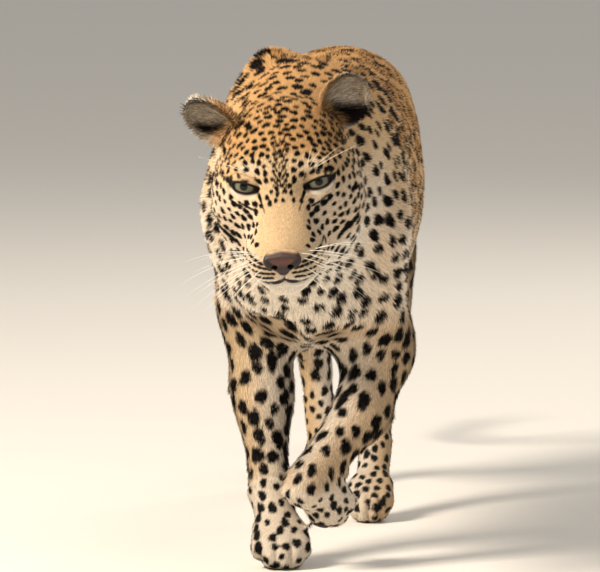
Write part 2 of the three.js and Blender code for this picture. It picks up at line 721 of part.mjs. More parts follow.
// A foot on a finer net, up to just above the joint that it is cut at.
function footSolid(field, leg, joint, half) {
  const points = [joint, leg.knuckles, leg.toes];
  const [low, high] = [Math.min, Math.max].map((pick) =>
    [0, 1, 2].map((axis) => pick(...points.map((p) => p[axis]))));
  const runs = [0, 1, 2].map((axis) => planes([
    low[axis] - half - (axis === 2 ? -6 : 6),
    high[axis] + (axis === 2 ? 26 : half + 14),
    FOOT_STEP[axis],
  ]));
  return solid(net(field, ...runs)).subtract(block([-400, -900, -200], [400, 1500, 0]));
}
for (const [name, leg] of Object.entries(FORE)) {
  const { side, elbow, arm, wrist } = leg;
  const root = rootBox(side * 8, -200, elbow[1] + 84, Math.max(elbow[2] + 6, CHEST_FLOOR + 40));
  const field = legs[name === "right" ? 0 : 1];
  const piece = wholeLeg(field, [elbow, arm, wrist], root);
  flesh = flesh.subtract(block(root[0].map((v) => v - GAP), root[1].map((v) => v + GAP)));
  // The cut halves the bend of the wrist.
  const bend = direction(leg.arm, leg.wrist).add(direction(leg.wrist, leg.knuckles));
  const upper = split(piece, leg.wrist, bend.toArray())[0];
  const paw = split(footSolid(field, leg, leg.wrist, 42), leg.wrist, bend.toArray())[1];
  add("foreleg_" + name, upper);
  add("forepaw_" + name, paw);
}
for (const [name, leg] of Object.entries(HIND)) {
  const { side, hip, seat, knee, hock } = leg;
  const root = rootBox(side * 14, knee[1] - 64, hip[1] + 190, hip[2] - 86);
  root[0][2] = BELLY_FLOOR - 6;
  const field = legs[name === "right" ? 2 : 3];
  const piece = wholeLeg(field, [seat, knee, hock, leg.knuckles], root);
  flesh = flesh.subtract(block(root[0].map((v) => v - GAP), root[1].map((v) => v + GAP)));
  const fold = direction(hip, knee).add(direction(knee, hock));
  const kneeAt = [knee[0], knee[1], knee[2] - 24];
  const [thigh, rest] = split(piece, kneeAt, fold.toArray());
  const toFloor = leg.knuckles.map((v, i) => v - leg.hock[i]);
  const ankle = leg.hock.map((v, i) => v + toFloor[i] * 0.22);
  const shank = split(rest, ankle, toFloor)[0];
  const foot = split(footSolid(field, leg, ankle, 38), ankle, toFloor)[1];
  add("thigh_" + name, thigh);
  add("shank_" + name, shank);
  add("hindpaw_" + name, foot);
}

// Trunk
flesh = flesh.decompose().sort((a, b) => b.volume() - a.volume())[0];
const [front, behindNeck] = split(flesh, [0, -150, 440], [0, 1, -0.35]);
add("neck", front);
const [chest, behindChest] = split(behindNeck, [0, 236, 400], [0, 1, 0]);
add("chest", chest);
const [belly, hips] = split(behindChest, [0, 540, 400], [0, 1, 0]);
add("belly", belly);
add("hips", hips);

// Tail, parted into root, middle and tip
const tailLine = new THREE.CatmullRomCurve3(TAIL.map((p) => new THREE.Vector3(...p)));
const tailRadius = (u) => {
  const [root, mid, end] = TAIL_RADIUS;
  const r = u < 0.4 ? lerp(root, mid, Math.sin((u / 0.4) * Math.PI / 2)) : lerp(mid, end, (u - 0.4) / 0.6);
  return r * Math.sqrt(1 - clamp((u - 0.955) / 0.046, 0, 1) ** 2);
};
let tail = solid(bar(tailLine, tailRadius, 34, 10)).subtract(fleshTool);
const names = ["tail_root", "tail_middle", "tail_tip"];
for (const [i, u] of [0.36, 0.7].entries()) {
  const [near, far] = split(tail, tailLine.getPointAt(u).toArray(),
    tailLine.getTangentAt(u).toArray());
  add(names[i], near);
  tail = far;
}
add(names[2], tail);

// The origin is on the floor, below the middle of the box round the whole animal.
const box = new THREE.Box3().setFromObject(leopard);
leopard.position.set(-(box.min.x + box.max.x) / 2, -(box.min.y + box.max.y) / 2, 0);
export default leopard;
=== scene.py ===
"""A life-size leopard in a slow walk, dressed round its solid frame.

One skin takes the place of the flesh. Short tufts of fur lie over it and carry the same markings.
Lids, eyes, nose leather, lips, ears, toe pads and whiskers are pieces of their own.
"""

import math

import bmesh
import bpy
import numpy as np
from bpy.props import FloatProperty, FloatVectorProperty, IntProperty, PointerProperty
from mathutils import Matrix, Vector
from mathutils.bvhtree import BVHTree
from mathutils.kdtree import KDTree


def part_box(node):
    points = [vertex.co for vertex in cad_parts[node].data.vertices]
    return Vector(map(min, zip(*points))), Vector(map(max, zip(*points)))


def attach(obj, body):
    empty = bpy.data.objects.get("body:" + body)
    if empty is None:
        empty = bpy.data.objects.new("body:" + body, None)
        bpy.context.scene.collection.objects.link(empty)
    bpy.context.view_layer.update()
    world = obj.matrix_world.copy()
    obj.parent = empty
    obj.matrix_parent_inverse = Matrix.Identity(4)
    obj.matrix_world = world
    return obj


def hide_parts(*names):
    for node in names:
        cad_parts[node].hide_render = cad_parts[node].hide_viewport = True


bl_info = {
    "name": "Leopard",
    "version": (1, 0, 0),
    "blender": (4, 5, 0),
    "location": "View3D > Sidebar > Leopard",
    "description": "Skin, spotted coat, eyes, nose, ears and whiskers for a walking leopard",
    "category": "Add Mesh",
}

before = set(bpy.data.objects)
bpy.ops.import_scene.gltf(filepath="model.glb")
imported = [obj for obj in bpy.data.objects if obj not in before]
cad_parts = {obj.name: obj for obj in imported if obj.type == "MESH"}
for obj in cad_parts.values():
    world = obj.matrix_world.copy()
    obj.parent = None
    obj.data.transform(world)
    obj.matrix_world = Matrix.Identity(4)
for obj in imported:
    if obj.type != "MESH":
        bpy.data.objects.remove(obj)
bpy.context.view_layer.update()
MM = 0.001

FLESH = (
    "head", "neck", "chest", "belly", "hips",
    "foreleg_right", "foreleg_left", "forepaw_right", "forepaw_left",
    "thigh_right", "thigh_left", "shank_right", "shank_left",
    "hindpaw_right", "hindpaw_left", "tail_root", "tail_middle", "tail_tip",
)

# Hair length, depth of the coat, spacing of the markings and radius of one, in mm, and how far
# the markings open into rosettes, for the flesh of each node
REGIONS = {
    "head": (7, 2.2, 12, 3.2, 0.0),
    "neck": (11, 3.6, 20.5, 6.1, 0.0),
    "chest": (11, 3.8, 29, 9.6, 0.35),
    "belly": (12, 4.2, 46, 14.5, 1.0),
    "hips": (11, 3.8, 43, 13.5, 1.0),
    "foreleg": (8, 2.8, 21.5, 7.0, 0.0),
    "forepaw": (6, 2.0, 15, 4.4, 0.0),
    "thigh": (10, 3.4, 31, 10.5, 0.3),
    "shank": (8, 2.6, 22, 7.0, 0.0),
    "hindpaw": (6, 2.0, 15, 4.2, 0.0),
    "tail_root": (11, 3.2, 29, 9.0, 0.0),
    "tail_middle": (11, 3.0, 33, 10.5, 0.0),
    "tail_tip": (14, 3.0, 44, 15.0, 0.0),
}

# Coat pieces, each with its share of the tufts
COATS = {
    "coat_face": 0.15,
    "coat_crown": 0.14,
    "coat_neck": 0.12,
    "coat_chest": 0.15,
    "coat_flank": 0.13,
    "coat_rump": 0.11,
    "coat_forelegs": 0.12,
    "coat_hindlegs": 0.05,
    "coat_tail": 0.03,
}

# In mm: the almond between the lids, and the eyeball
EYE_WIDE = 14.9  # half its width
EYE_ABOVE, EYE_BELOW = 4.8, 5.6  # its height over and under the middle
LID_SHELL = 0.8  # thickness of the lids' skin away from their edge

# The markings
MOST_SPOTS = 6000  # more than the animal has
SPOT_TRIES = 60000  # points of the skin that are tried as the middle of one
SPOT_GAP = 0.84  # least distance of two middles, as a share of the spacing
SOFT_EDGE = 0.8 * MM  # a marking fades out over twice this
TAIL_RING = 62 * MM  # from one bar of the tail to the next


def linear(code):
    """An sRGB hex colour as linear red, green and blue."""
    values = [int(code[i:i + 2], 16) / 255 for i in (0, 2, 4)]
    return tuple(v / 12.92 if v <= 0.04045 else ((v + 0.055) / 1.055) ** 2.4 for v in values)


def size(name, text, default, unit="LENGTH"):
    """A property for a size that a user may change."""
    return FloatProperty(name=name, description=text, default=default, unit=unit, min=0.0)


def colour(name, text, code):
    """A property for a colour that a user may change."""
    return FloatVectorProperty(name=name, description=text, subtype="COLOR", default=linear(code))


class LeopardSizes(bpy.types.PropertyGroup):
    """Sizes of the coat, the face and the whiskers."""

    skin_grid: size("Skin grid", "Distance between the points of the skin", 6.0 * MM)
    hair: FloatProperty(
        name="Hair length", description="Length of all fur, against the usual", default=1.0)
    tufts: IntProperty(
        name="Tufts", description="Number of tufts of fur in the whole coat", default=320000)
    tuft_width: size("Tuft width", "Width of a tuft of body fur at its root", 2.6 * MM)
    lid_edge: size("Lid edge", "Thickness of the eyelids at their edge", 1.5 * MM)
    whisker: size("Whiskers", "Length of the longest whisker", 88 * MM)
    whisker_root: size("Whisker root", "Radius of a whisker where it leaves the lip", 0.42 * MM)


class LeopardColours(bpy.types.PropertyGroup):
    """Colours of the coat and of the bare parts."""

    back: colour("Back", "Fur of the back and crown", "CE9F69")
    side: colour("Side", "Fur of the flanks and the outside of the legs", "DBB98C")
    under: colour("Underside", "Fur of the throat, belly and inside of the legs", "F5E9D8")
    spot: colour("Spots", "The dark markings", "0B0706")
    rosette: colour("Rosettes", "Fur inside a rosette", "B58146")
    nose: colour("Nose leather", "Bare skin of the nose", "4E2C26")
    iris: colour("Iris", "The coloured ring of the eye", "696853")
    bare: colour("Lips and lids", "Bare dark skin of lips, lid edges and pads", "17100D")
    whisker: colour("Whiskers", "The stiff hairs of lip and brow", "F1EBDD")
    floor: colour("Floor", "The studio floor and wall", "E9E5DE")


def sizes():
    return bpy.context.scene.leopard_sizes


def colours():
    return bpy.context.scene.leopard_colours


# The head's own frame: midway between the eyes, in mm, nose towards -y and crown towards +z

NOSE_SLOPE = math.radians(31.5)  # the nose leather lies this far below straight ahead


def middle_of(node):
    low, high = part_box(node)
    return (low + high) / 2


def head_matrix():
    left, right, nose = (middle_of(n) for n in ("eye_left", "eye_right", "nose"))
    across = (left - right).normalized()
    toward = nose - (left + right) / 2
    toward = (toward - across * toward.dot(across)).normalized()
    ahead = Matrix.Rotation(-NOSE_SLOPE, 3, across) @ toward
    up = across.cross(-ahead)
    axes = Matrix((across, -ahead, up)).transposed().to_4x4()
    return Matrix.Translation((left + right) / 2) @ axes @ Matrix.Scale(MM, 4)


HEAD = head_matrix()
TO_HEAD = HEAD.inverted()
HEAD_AXES = HEAD.to_3x3().normalized()
HEAD_BACK = np.array(HEAD_AXES.col[1])  # from the nose to the back of the head


def head_points(points):
    """Points of the model as an array in the head's frame, in mm."""
    m = np.array(TO_HEAD)
    return points @ m[:3, :3].T + m[:3, 3]


def from_middle(h, z, wide, tall):
    """How far points of the head's frame are from the middle of an oval at height z: 1 is its rim."""
    return np.hypot(h[:, 0] / wide, (h[:, 2] - z) / tall)


def smooth(low, high, x):
    """0 below low, 1 above high, and a smooth step between; high may be the lower one."""
    t = np.clip((x - low) / (high - low), 0, 1)
    return t * t * (3 - 2 * t)


def bump(x, middle, width):
    """1 at the middle, falling smoothly to 0 at about twice the width."""
    return np.exp(-(((x - middle) / width) ** 2))


def unit(v):
    return v / np.maximum(np.linalg.norm(v, axis=-1, keepdims=True), 1e-9)


def mixed(a, b, t):
    t = t[..., None]
    return a * (1 - t) + b * t


# Mesh helpers

def shown(name, mesh, slot, *nodes, materials=()):
    """A finished piece from a mesh: it rides on the body and may stand for nodes of the frame."""
    piece = bpy.data.objects.new(name, mesh)
    bpy.context.scene.collection.objects.link(piece)
    for m in materials:
        mesh.materials.append(m)
    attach(piece, "root")
    if nodes:
        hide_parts(*nodes)
    return piece


def mesh_of(bm, name):
    mesh = bpy.data.meshes.new(name)
    bm.to_mesh(mesh)
    bm.free()
    mesh.shade_smooth()
    return mesh


def closed_copy(bm, node, grow):
    """Adds a closed copy of a node, pushed out by a little so that the gap to the next one closes."""
    copy = bmesh.new()
    copy.from_mesh(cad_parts[node].data)
    bmesh.ops.remove_doubles(copy, verts=copy.verts, dist=1e-5)
    copy.normal_update()
    for v in copy.verts:
        v.co += v.normal * grow
    joined = bpy.data.meshes.new(node)
    copy.to_mesh(joined)
    copy.free()
    bm.from_mesh(joined)
    bpy.data.meshes.remove(joined)


def regridded(bm, voxel):
    """The same solid as an even mesh of squares."""
    holder = bpy.data.objects.new("holder", mesh_of(bm, "holder"))
    bpy.context.scene.collection.objects.link(holder)
    grid = holder.modifiers.new("grid", "REMESH")
    grid.mode = "VOXEL"
    grid.voxel_size = voxel
    grid.use_smooth_shade = True
    depsgraph = bpy.context.evaluated_depsgraph_get()
    mesh = bpy.data.meshes.new_from_object(holder.evaluated_get(depsgraph))
    bpy.data.objects.remove(holder)
    return mesh


def points_of(mesh):
    co = np.empty(len(mesh.vertices) * 3, np.float32)
    mesh.vertices.foreach_get("co", co)
    return co.reshape(-1, 3).astype(float)


def normals_of(mesh):
    n = np.empty(len(mesh.vertices) * 3, np.float32)
    mesh.vertex_normals.foreach_get("vector", n)
    return n.reshape(-1, 3).astype(float)


def set_points(mesh, co):
    mesh.vertices.foreach_set("co", co.astype(np.float32).ravel())
    mesh.update()


def edges_of(mesh):
    e = np.empty(len(mesh.edges) * 2, np.int32)
    mesh.edges.foreach_get("vertices", e)
    return e.reshape(-1, 2)


def relaxed(values, edges, weight, passes):
    """Each value drawn towards the mean of its neighbours, weight times per pass."""
    values = values.copy()
    flat = values.reshape(len(values), -1)
    a, b = edges.T
    n = len(values)
    count = np.maximum(np.bincount(a, minlength=n) + np.bincount(b, minlength=n), 1)
    weight = np.broadcast_to(weight, n)
    for _ in range(passes):
        for k in range(flat.shape[1]):
            total = np.bincount(a, flat[b, k], n) + np.bincount(b, flat[a, k], n)
            flat[:, k] += weight * (total / count - flat[:, k])
    return values


def paint(mesh, rgb):
    """Stores linear colours on the points of a mesh: one each, or one for all."""
    layer = mesh.color_attributes.new("markings_and_shade", "FLOAT_COLOR", "POINT")
    rgba = np.ones((len(mesh.vertices), 4))
    rgba[:, :3] = rgb
    layer.data.foreach_set("color", rgba.astype(np.float32).ravel())


def unwrapped(piece):
    """Unwraps a piece by its own shape into the map OFBake."""
    piece.data.uv_layers.new(name="OFBake")
    bpy.ops.object.select_all(action="DESELECT")
    piece.select_set(True)
    bpy.context.view_layer.objects.active = piece
    bpy.ops.object.mode_set(mode="EDIT")
    bpy.ops.mesh.select_all(action="SELECT")
    bpy.ops.uv.smart_project(angle_limit=math.radians(70), island_margin=0.001)
    bpy.ops.object.mode_set(mode="OBJECT")


# Skin

def nearest_nodes(points):
    """For each point, the index in FLESH of the node whose surface is nearest."""
    labels = []
    spots = []
    for i, node in enumerate(FLESH):
        co = np.unique(np.round(points_of(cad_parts[node].data), 5), axis=0)
        spots.append(co)
        labels += [i] * len(co)
    spots = np.concatenate(spots)
    tree = KDTree(len(spots))
    for i, p in enumerate(spots):
        tree.insert(p, i)
    tree.balance()
    return np.array([labels[tree.find(p)[1]] for p in points])


def region_of(node):
    return REGIONS.get(node) or REGIONS[node.rsplit("_", 1)[0]]


def lie_of_coat(points, owner):
    """The way the hair points: out from the nose, back along the body, down the legs."""
    lie = np.zeros_like(points)
    axes = np.array(HEAD_AXES)
    for i, node in enumerate(FLESH):
        mine = owner == i
        if not mine.any():
            continue
        name, _, side = node.rpartition("_")
        if node == "head":
            h = head_points(points[mine]) - np.array([0, -84, -48])
            flow = unit(h)
            flow[:, 1] += 0.45
            lie[mine] = flow @ axes.T
        elif name in ("foreleg", "thigh", "shank"):
            end = {"foreleg": "forepaw", "thigh": "shank", "shank": "hindpaw"}[name]
            way = middle_of(f"{end}_{side}") - middle_of(node)
            lie[mine] = np.array(way.normalized())
        elif name == "forepaw" and side == "left":
            lie[mine] = (0.35, 0.75, -0.55)
        elif name in ("forepaw", "hindpaw"):
            lie[mine] = (0, -0.85, -0.5)
        elif name == "tail":
            order = ["tail_root", "tail_middle", "tail_tip"]
            k = order.index(node)
            ends = [middle_of(order[max(k - 1, 0)]), middle_of(order[min(k + 1, 2)])]
            lie[mine] = np.array((ends[1] - ends[0]).normalized())
        else:
            lie[mine] = (0, 1, -0.35)
    return lie


def sculpt_face(points, normals):
    """Folds of the face, in mm along the normal: sockets, brows, bridge, pads, lips and chin."""
    h = head_points(points)
    x, y, z = np.abs(h[:, 0]), h[:, 1], h[:, 2]
    near = smooth(40, 10, y)
    move = np.zeros(len(points))
    move += 2.6 * bump(x, 33, 17) * bump(y, -6, 16) * bump(z, 17, 7)
    move -= 2.2 * bump(x, 22, 7) * bump(y, -22, 14) * bump(z, -2, 9)
    move += 1.6 * bump(x, 46, 14) * bump(y, -6, 18) * bump(z, -20, 9)
    move -= 2.4 * bump(x, 36, 7) * bump(y, -44, 18) * bump(z, -34, 14)
    move += 2.8 * bump(x, 24, 13) * bump(y, -76, 18) * bump(z, -70, 13)
    move -= 2.6 * bump(x, 0, 1.8) * smooth(-78, -90, y) * smooth(-58, -66, z) * smooth(-92, -84, z)
    move += 1.6 * bump(x, 0, 18) * bump(y, -72, 18) * bump(z, -100, 9)
    return points + normals * (move * near * MM)[:, None]


def mouth_curve(bvh):
    """Points of the mouth line on the surface, from the right corner to the left one."""
    line = []
    for i in range(-16, 17):
        t = i / 16
        aim = Vector((46 * t, -100 + 64 * t * t, -82 - 26 * abs(t) * (1 - abs(t)) + 6 * t * t))
        start = Vector((aim.x * 0.3, aim.y * 0.3 - 20, aim.z))
        origin = HEAD @ (start + (aim - start).normalized() * 140)
        hit = bvh.ray_cast(origin, (HEAD @ start - origin).normalized())[0]
        if hit is not None:
            line.append(hit)
    return line


def on_face(surface, x, z):
    """The point of the surface straight behind (x, z) of the head's frame, seen from ahead."""
    start = HEAD @ Vector((x, -180, z))
    return surface.ray_cast(start, (HEAD @ Vector((x, 0, z)) - start).normalized())[0]


def distance_to_line(points, line):
    """Distance of each point from a polyline."""
    best = np.full(len(points), 1e9)
    for a, b in zip(line[:-1], line[1:]):
        a, b = np.array(a), np.array(b)
        run = b - a
        t = np.clip(((points - a) @ run) / max(run @ run, 1e-12), 0, 1)
        best = np.minimum(best, np.linalg.norm(points - a - t[:, None] * run, axis=1))
    return best


def eye_axes(side):
    """Centre, outward, across and up directions of an eye's opening; its outer corner is raised."""
    s = 1 if side == "left" else -1
    turn = Matrix.Rotation(math.radians(16 * s), 3, "Z") @ Matrix.Rotation(math.radians(-12), 3, "X")
    turn = turn @ Matrix.Rotation(math.radians(-10 * s), 3, "Y")
    out = HEAD_AXES @ turn @ Vector((0, -1, 0))
    across = HEAD_AXES @ turn @ Vector((s, 0, 0))
    return middle_of(f"eye_{side}"), out, across, across.cross(out) * -s


def finer(mesh, wanted):
    """Splits the edges of the faces round the wanted points once."""
    bm = bmesh.new()
    bm.from_mesh(mesh)
    bm.edges.ensure_lookup_table()
    edges = [e for e in bm.edges if wanted[e.verts[0].index] and wanted[e.verts[1].index]]
    bmesh.ops.subdivide_edges(bm, edges=edges, cuts=1, use_grid_fill=True)
    bmesh.ops.triangulate(bm, faces=[f for f in bm.faces if len(f.verts) > 4])
    bm.to_mesh(mesh)
    bm.free()
    mesh.shade_smooth()


class Skin:
    """The skin's mesh with what the coat needs to know at each of its points."""

    def build(self):
        bm = bmesh.new()
        for node in FLESH + ("eye_right", "eye_left", "nose"):
            closed_copy(bm, node, 0.35 * MM)
        solid = BVHTree.FromBMesh(bm)
        mesh = regridded(bm, sizes().skin_grid)
        co = points_of(mesh)
        owner = nearest_nodes(co)
        ease = np.array([0.16 if n == "head" else 0.3 if "paw" in n else 0.55 for n in FLESH])[owner]
        edges = edges_of(mesh)
        ease = relaxed(ease, edges, 0.5, 6)
        co = relaxed(co, edges, ease, 22)
        height = co[:, 2]
        behind_elbow = smooth(0.34, 0.29, height) * smooth(0.21, 0.23, height)
        behind_elbow = behind_elbow * bump(co[:, 1], -0.378, 0.045)
        set_points(mesh, relaxed(co, edges, 0.7 * behind_elbow, 40))
        paws = np.isin(owner, [i for i, n in enumerate(FLESH) if "paw" in n])
        finer(mesh, paws)
        self.follow(mesh, solid)
        h = head_points(points_of(mesh))
        finer(mesh, (h[:, 1] < 70) & (points_of(mesh)[:, 1] < HEAD.translation.y + 0.13))
        h = head_points(points_of(mesh))
        finer(mesh, (h[:, 1] < 2) & (h[:, 2] > -118) & (h[:, 2] < 24) & (np.abs(h[:, 0]) < 66))
        edges = edges_of(mesh)
        co = points_of(mesh)
        h = head_points(co)
        face = smooth(90, 60, h[:, 1])
        co = relaxed(co, edges, 0.5 * face, 5)
        set_points(mesh, co)
        self.mesh, self.edges = mesh, edges
        self.measure()
        normals = relaxed(normals_of(mesh), edges, 0.5, 3)
        co = co - unit(normals) * (self.depth * MM)[:, None]
        set_points(mesh, sculpt_face(co, normals_of(mesh)))
        self.part_toes()
        self.carve_mouth()
        self.open_eyes()
        self.colour()
        return mesh

    def part_toes(self):
        """Creases between the four toes of each standing paw, and a swell over each toe."""
        co = points_of(self.mesh)
        n = normals_of(self.mesh)
        for node in ("forepaw_right", "hindpaw_right", "hindpaw_left"):
            low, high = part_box(node)
            half = (high.x - low.x) / 2 / MM
            x = (co[:, 0] - (low.x + high.x) / 2) / MM
            ahead = (high.y - co[:, 1]) / (high.y - low.y)
            z = co[:, 2] / MM
            mine = (self.owner == FLESH.index(node)) * smooth(0.42, 0.72, ahead)
            mine = mine * smooth(2, 6, z) * smooth(44, 26, z)
            fan = x / (0.7 + 0.3 * ahead)
            crease = sum(bump(fan, u * half, 2.3) for u in (-0.44, 0.0, 0.44))
            swell = sum(bump(fan, u * half, 4.5) for u in (-0.66, -0.22, 0.22, 0.66))
            co += n * ((swell * 1.3 - crease * 3.4) * mine * MM)[:, None]
        set_points(self.mesh, co)

    @staticmethod
    def follow(mesh, solid):
        """Draws the fine grid of the paws back on to the solid, so that the toes stay apart."""
        co = points_of(mesh)
        edges = edges_of(mesh)
        small = np.linalg.norm(co[edges[:, 0]] - co[edges[:, 1]], axis=1) < 3.4 * MM
        fine = np.zeros(len(co))
        np.maximum.at(fine, edges[small].ravel(), 1.0)
        fine = relaxed(fine, edges, 0.5, 3)
        for i in np.flatnonzero(fine > 0.05):
            hit = solid.find_nearest(co[i])[0]
            co[i] += (np.array(hit) - co[i]) * 0.85 * fine[i]
        set_points(mesh, relaxed(co, edges, 0.4 * fine, 2))

    def measure(self):
        """Hair length, coat depth, markings and lie at each point, run smoothly together."""
        co = points_of(self.mesh)
        owner = nearest_nodes(co)
        table = np.array([region_of(n) for n in FLESH], float)[owner]
        h = head_points(co)
        head = (owner == FLESH.index("head"))[:, None]
        x, y, z = np.abs(h[:, 0]), h[:, 1], h[:, 2]
        back = smooth(-20, 70, y)
        low = smooth(-20, -80, z)
        brow = smooth(20, 10, x) * smooth(-16, -2, z) * smooth(70, 40, z)
        face = np.stack([
            4.4 + 2 * back + 5 * low * back - 1.2 * smooth(-44, -60, y),
            1.8 + 1.2 * back,
            10.2 + 1.2 * back + 5 * low - 2.6 * brow,
            3.0 + 1.3 * back + 1.0 * low - 0.9 * brow,
            0 * y,
        ], axis=1)
        table = np.where(head, face, table)
        under = smooth(0.0, -0.7, normals_of(self.mesh)[:, 2]) * (owner > 0) * (owner < 5)
        table[:, 0] += 7 * under
        table[:, 4] *= 1 - under
        chest_front = smooth(-0.5, -0.58, co[:, 1]) * (owner == FLESH.index("chest"))
        table[:, 4] *= 1 - chest_front
        table[:, 2] -= 5.5 * chest_front
        table[:, 3] -= 2.6 * chest_front
        table = relaxed(table, self.edges, 0.6, 14)
        self.hair, self.depth, self.spacing, self.radius, self.open = table.T
        self.owner = owner
        lie = relaxed(lie_of_coat(co, owner), self.edges, 0.6, 26)
        n = normals_of(self.mesh)
        self.lie = unit(lie - n * (lie * n).sum(1, keepdims=True))
        self.tone = relaxed(self.tone_of(co, n, h), self.edges, 0.6, 8)

    def tone_of(self, co, n, h):
        """How tawny the fur is: 0 on the white underside, 1 along the back and crown."""
        front = smooth(-0.36, -0.56, co[:, 1])
        up = smooth(-0.75 + 0.5 * front, 0.75 + 0.2 * front, n[:, 2])
        names = np.array([name.split("_")[0] for name in FLESH])[self.owner]
        side = np.sign(co[:, 0] + 0.012)
        outer = smooth(-0.6, 0.7, n[:, 0] * side)
        tone = 0.12 + 0.88 * up
        limb = np.isin(names, ["foreleg", "forepaw", "shank", "hindpaw", "thigh"])
        hind = np.isin(names, ["thigh", "shank", "hindpaw"])
        tone = np.where(limb, 0.17 + (0.3 + 0.06 * hind) * outer, tone)
        tone = np.where(names == "forepaw", 0.2, tone)
        bib = np.isin(names, ["neck", "chest"]) * smooth(-0.1, -0.75, n[:, 1])
        bib = bib * smooth(0.5, 0.42, co[:, 2])
        tone = tone * (1 - bib) + bib * (0.08 + 0.26 * smooth(0.02, 0.1, np.abs(co[:, 0])))
        x, y, z = np.abs(h[:, 0]), h[:, 1], h[:, 2]
        bridge = smooth(36, 26, x) * smooth(4, -12, y) * smooth(-70, -56, z)
        cheek = smooth(24, 40, x) * smooth(0, -22, z) * smooth(-70, -30, y)
        brow = bump(x, 38, 16) * bump(z, 22, 8) * smooth(20, 0, y)
        pads = smooth(-46, -58, z) * smooth(-36, -50, y)
        chin = smooth(-74, -88, z)
        face = 0.42 + 0.5 * smooth(-8, 34, z)
        for goal, share in ((0.52, bridge), (0.32, cheek), (0.3, brow), (0.36, pads), (0.0, chin)):
            face = face + (goal - face) * share
        return np.where(names == "head", face, tone)

    def carve_mouth(self):
        """Presses the mouth line in and keeps its course for the lips."""
        co = points_of(self.mesh)
        n = normals_of(self.mesh)
        self.mouth = mouth_curve(self.surface())
        far = distance_to_line(co, self.mouth) / MM
        move = -3.6 * bump(far, 0, 2.2) + 0.9 * bump(far, 5.2, 2.4)
        set_points(self.mesh, co + n * (move * MM)[:, None])

    def surface(self):
        """The skin as it is now, for rays."""
        polygons = [tuple(p.vertices) for p in self.mesh.polygons]
        return BVHTree.FromPolygons([tuple(v) for v in points_of(self.mesh)], polygons)

    def open_eyes(self):
        """Draws the skin back behind each eyeball, inside the ring where its lids meet the skin."""
        self.before_eyes = self.surface()
        self.tree = KDTree(len(self.mesh.vertices))
        for i, p in enumerate(points_of(self.mesh)):
            self.tree.insert(p, i)
        self.tree.balance()
        co = points_of(self.mesh)
        for side in ("right", "left"):
            centre, out, across, up = eye_axes(side)
            d = co - np.array(centre)
            depth = d @ np.array(out)
            a, b = d @ np.array(across), d @ np.array(up)
            inside = np.hypot(a / (21.5 * MM), b / (13.5 * MM))
            pull = smooth(1.08, 0.8, inside) * (depth > 0)
            behind_ball = np.sqrt(np.maximum((17 * MM) ** 2 - a * a - b * b, (4 * MM) ** 2)) - 3 * MM
            goal = np.minimum(depth, behind_ball)
            co += ((goal - depth) * pull)[:, None] * np.array(out)
        h = head_points(co)
        under_nose = smooth(1.0, 0.75, from_middle(h, -57, 15.5, 11)) * (h[:, 1] < -80)
        back = np.maximum(-86 - h[:, 1], 0) * under_nose
        co += back[:, None] * MM * HEAD_BACK
        set_points(self.mesh, co)

    def colour(self):
        """The markings' middles, and the skin's colour: the coat's, darker as painted shade under the
        tufts, and near black as painted shade under the nose leather.
        """
        self.seeds = Markings(self)
        co = points_of(self.mesh)
        # Painted shade: the skin takes the coat's colours at 0.62, as the shade under the tufts
        rgb = self.seeds.colour_at(co, self.tone) * 0.62
        h = head_points(co)
        # Painted shade: near black on the skin under the nose leather, which shows through the nostrils
        off_nose = from_middle(h, -61, 16, 11) + 9 * (h[:, 1] > -76)
        rgb = mixed(np.array(colours().bare) * 0.3, rgb, smooth(0.85, 1.0, off_nose))
        paint(self.mesh, rgb)


# Markings

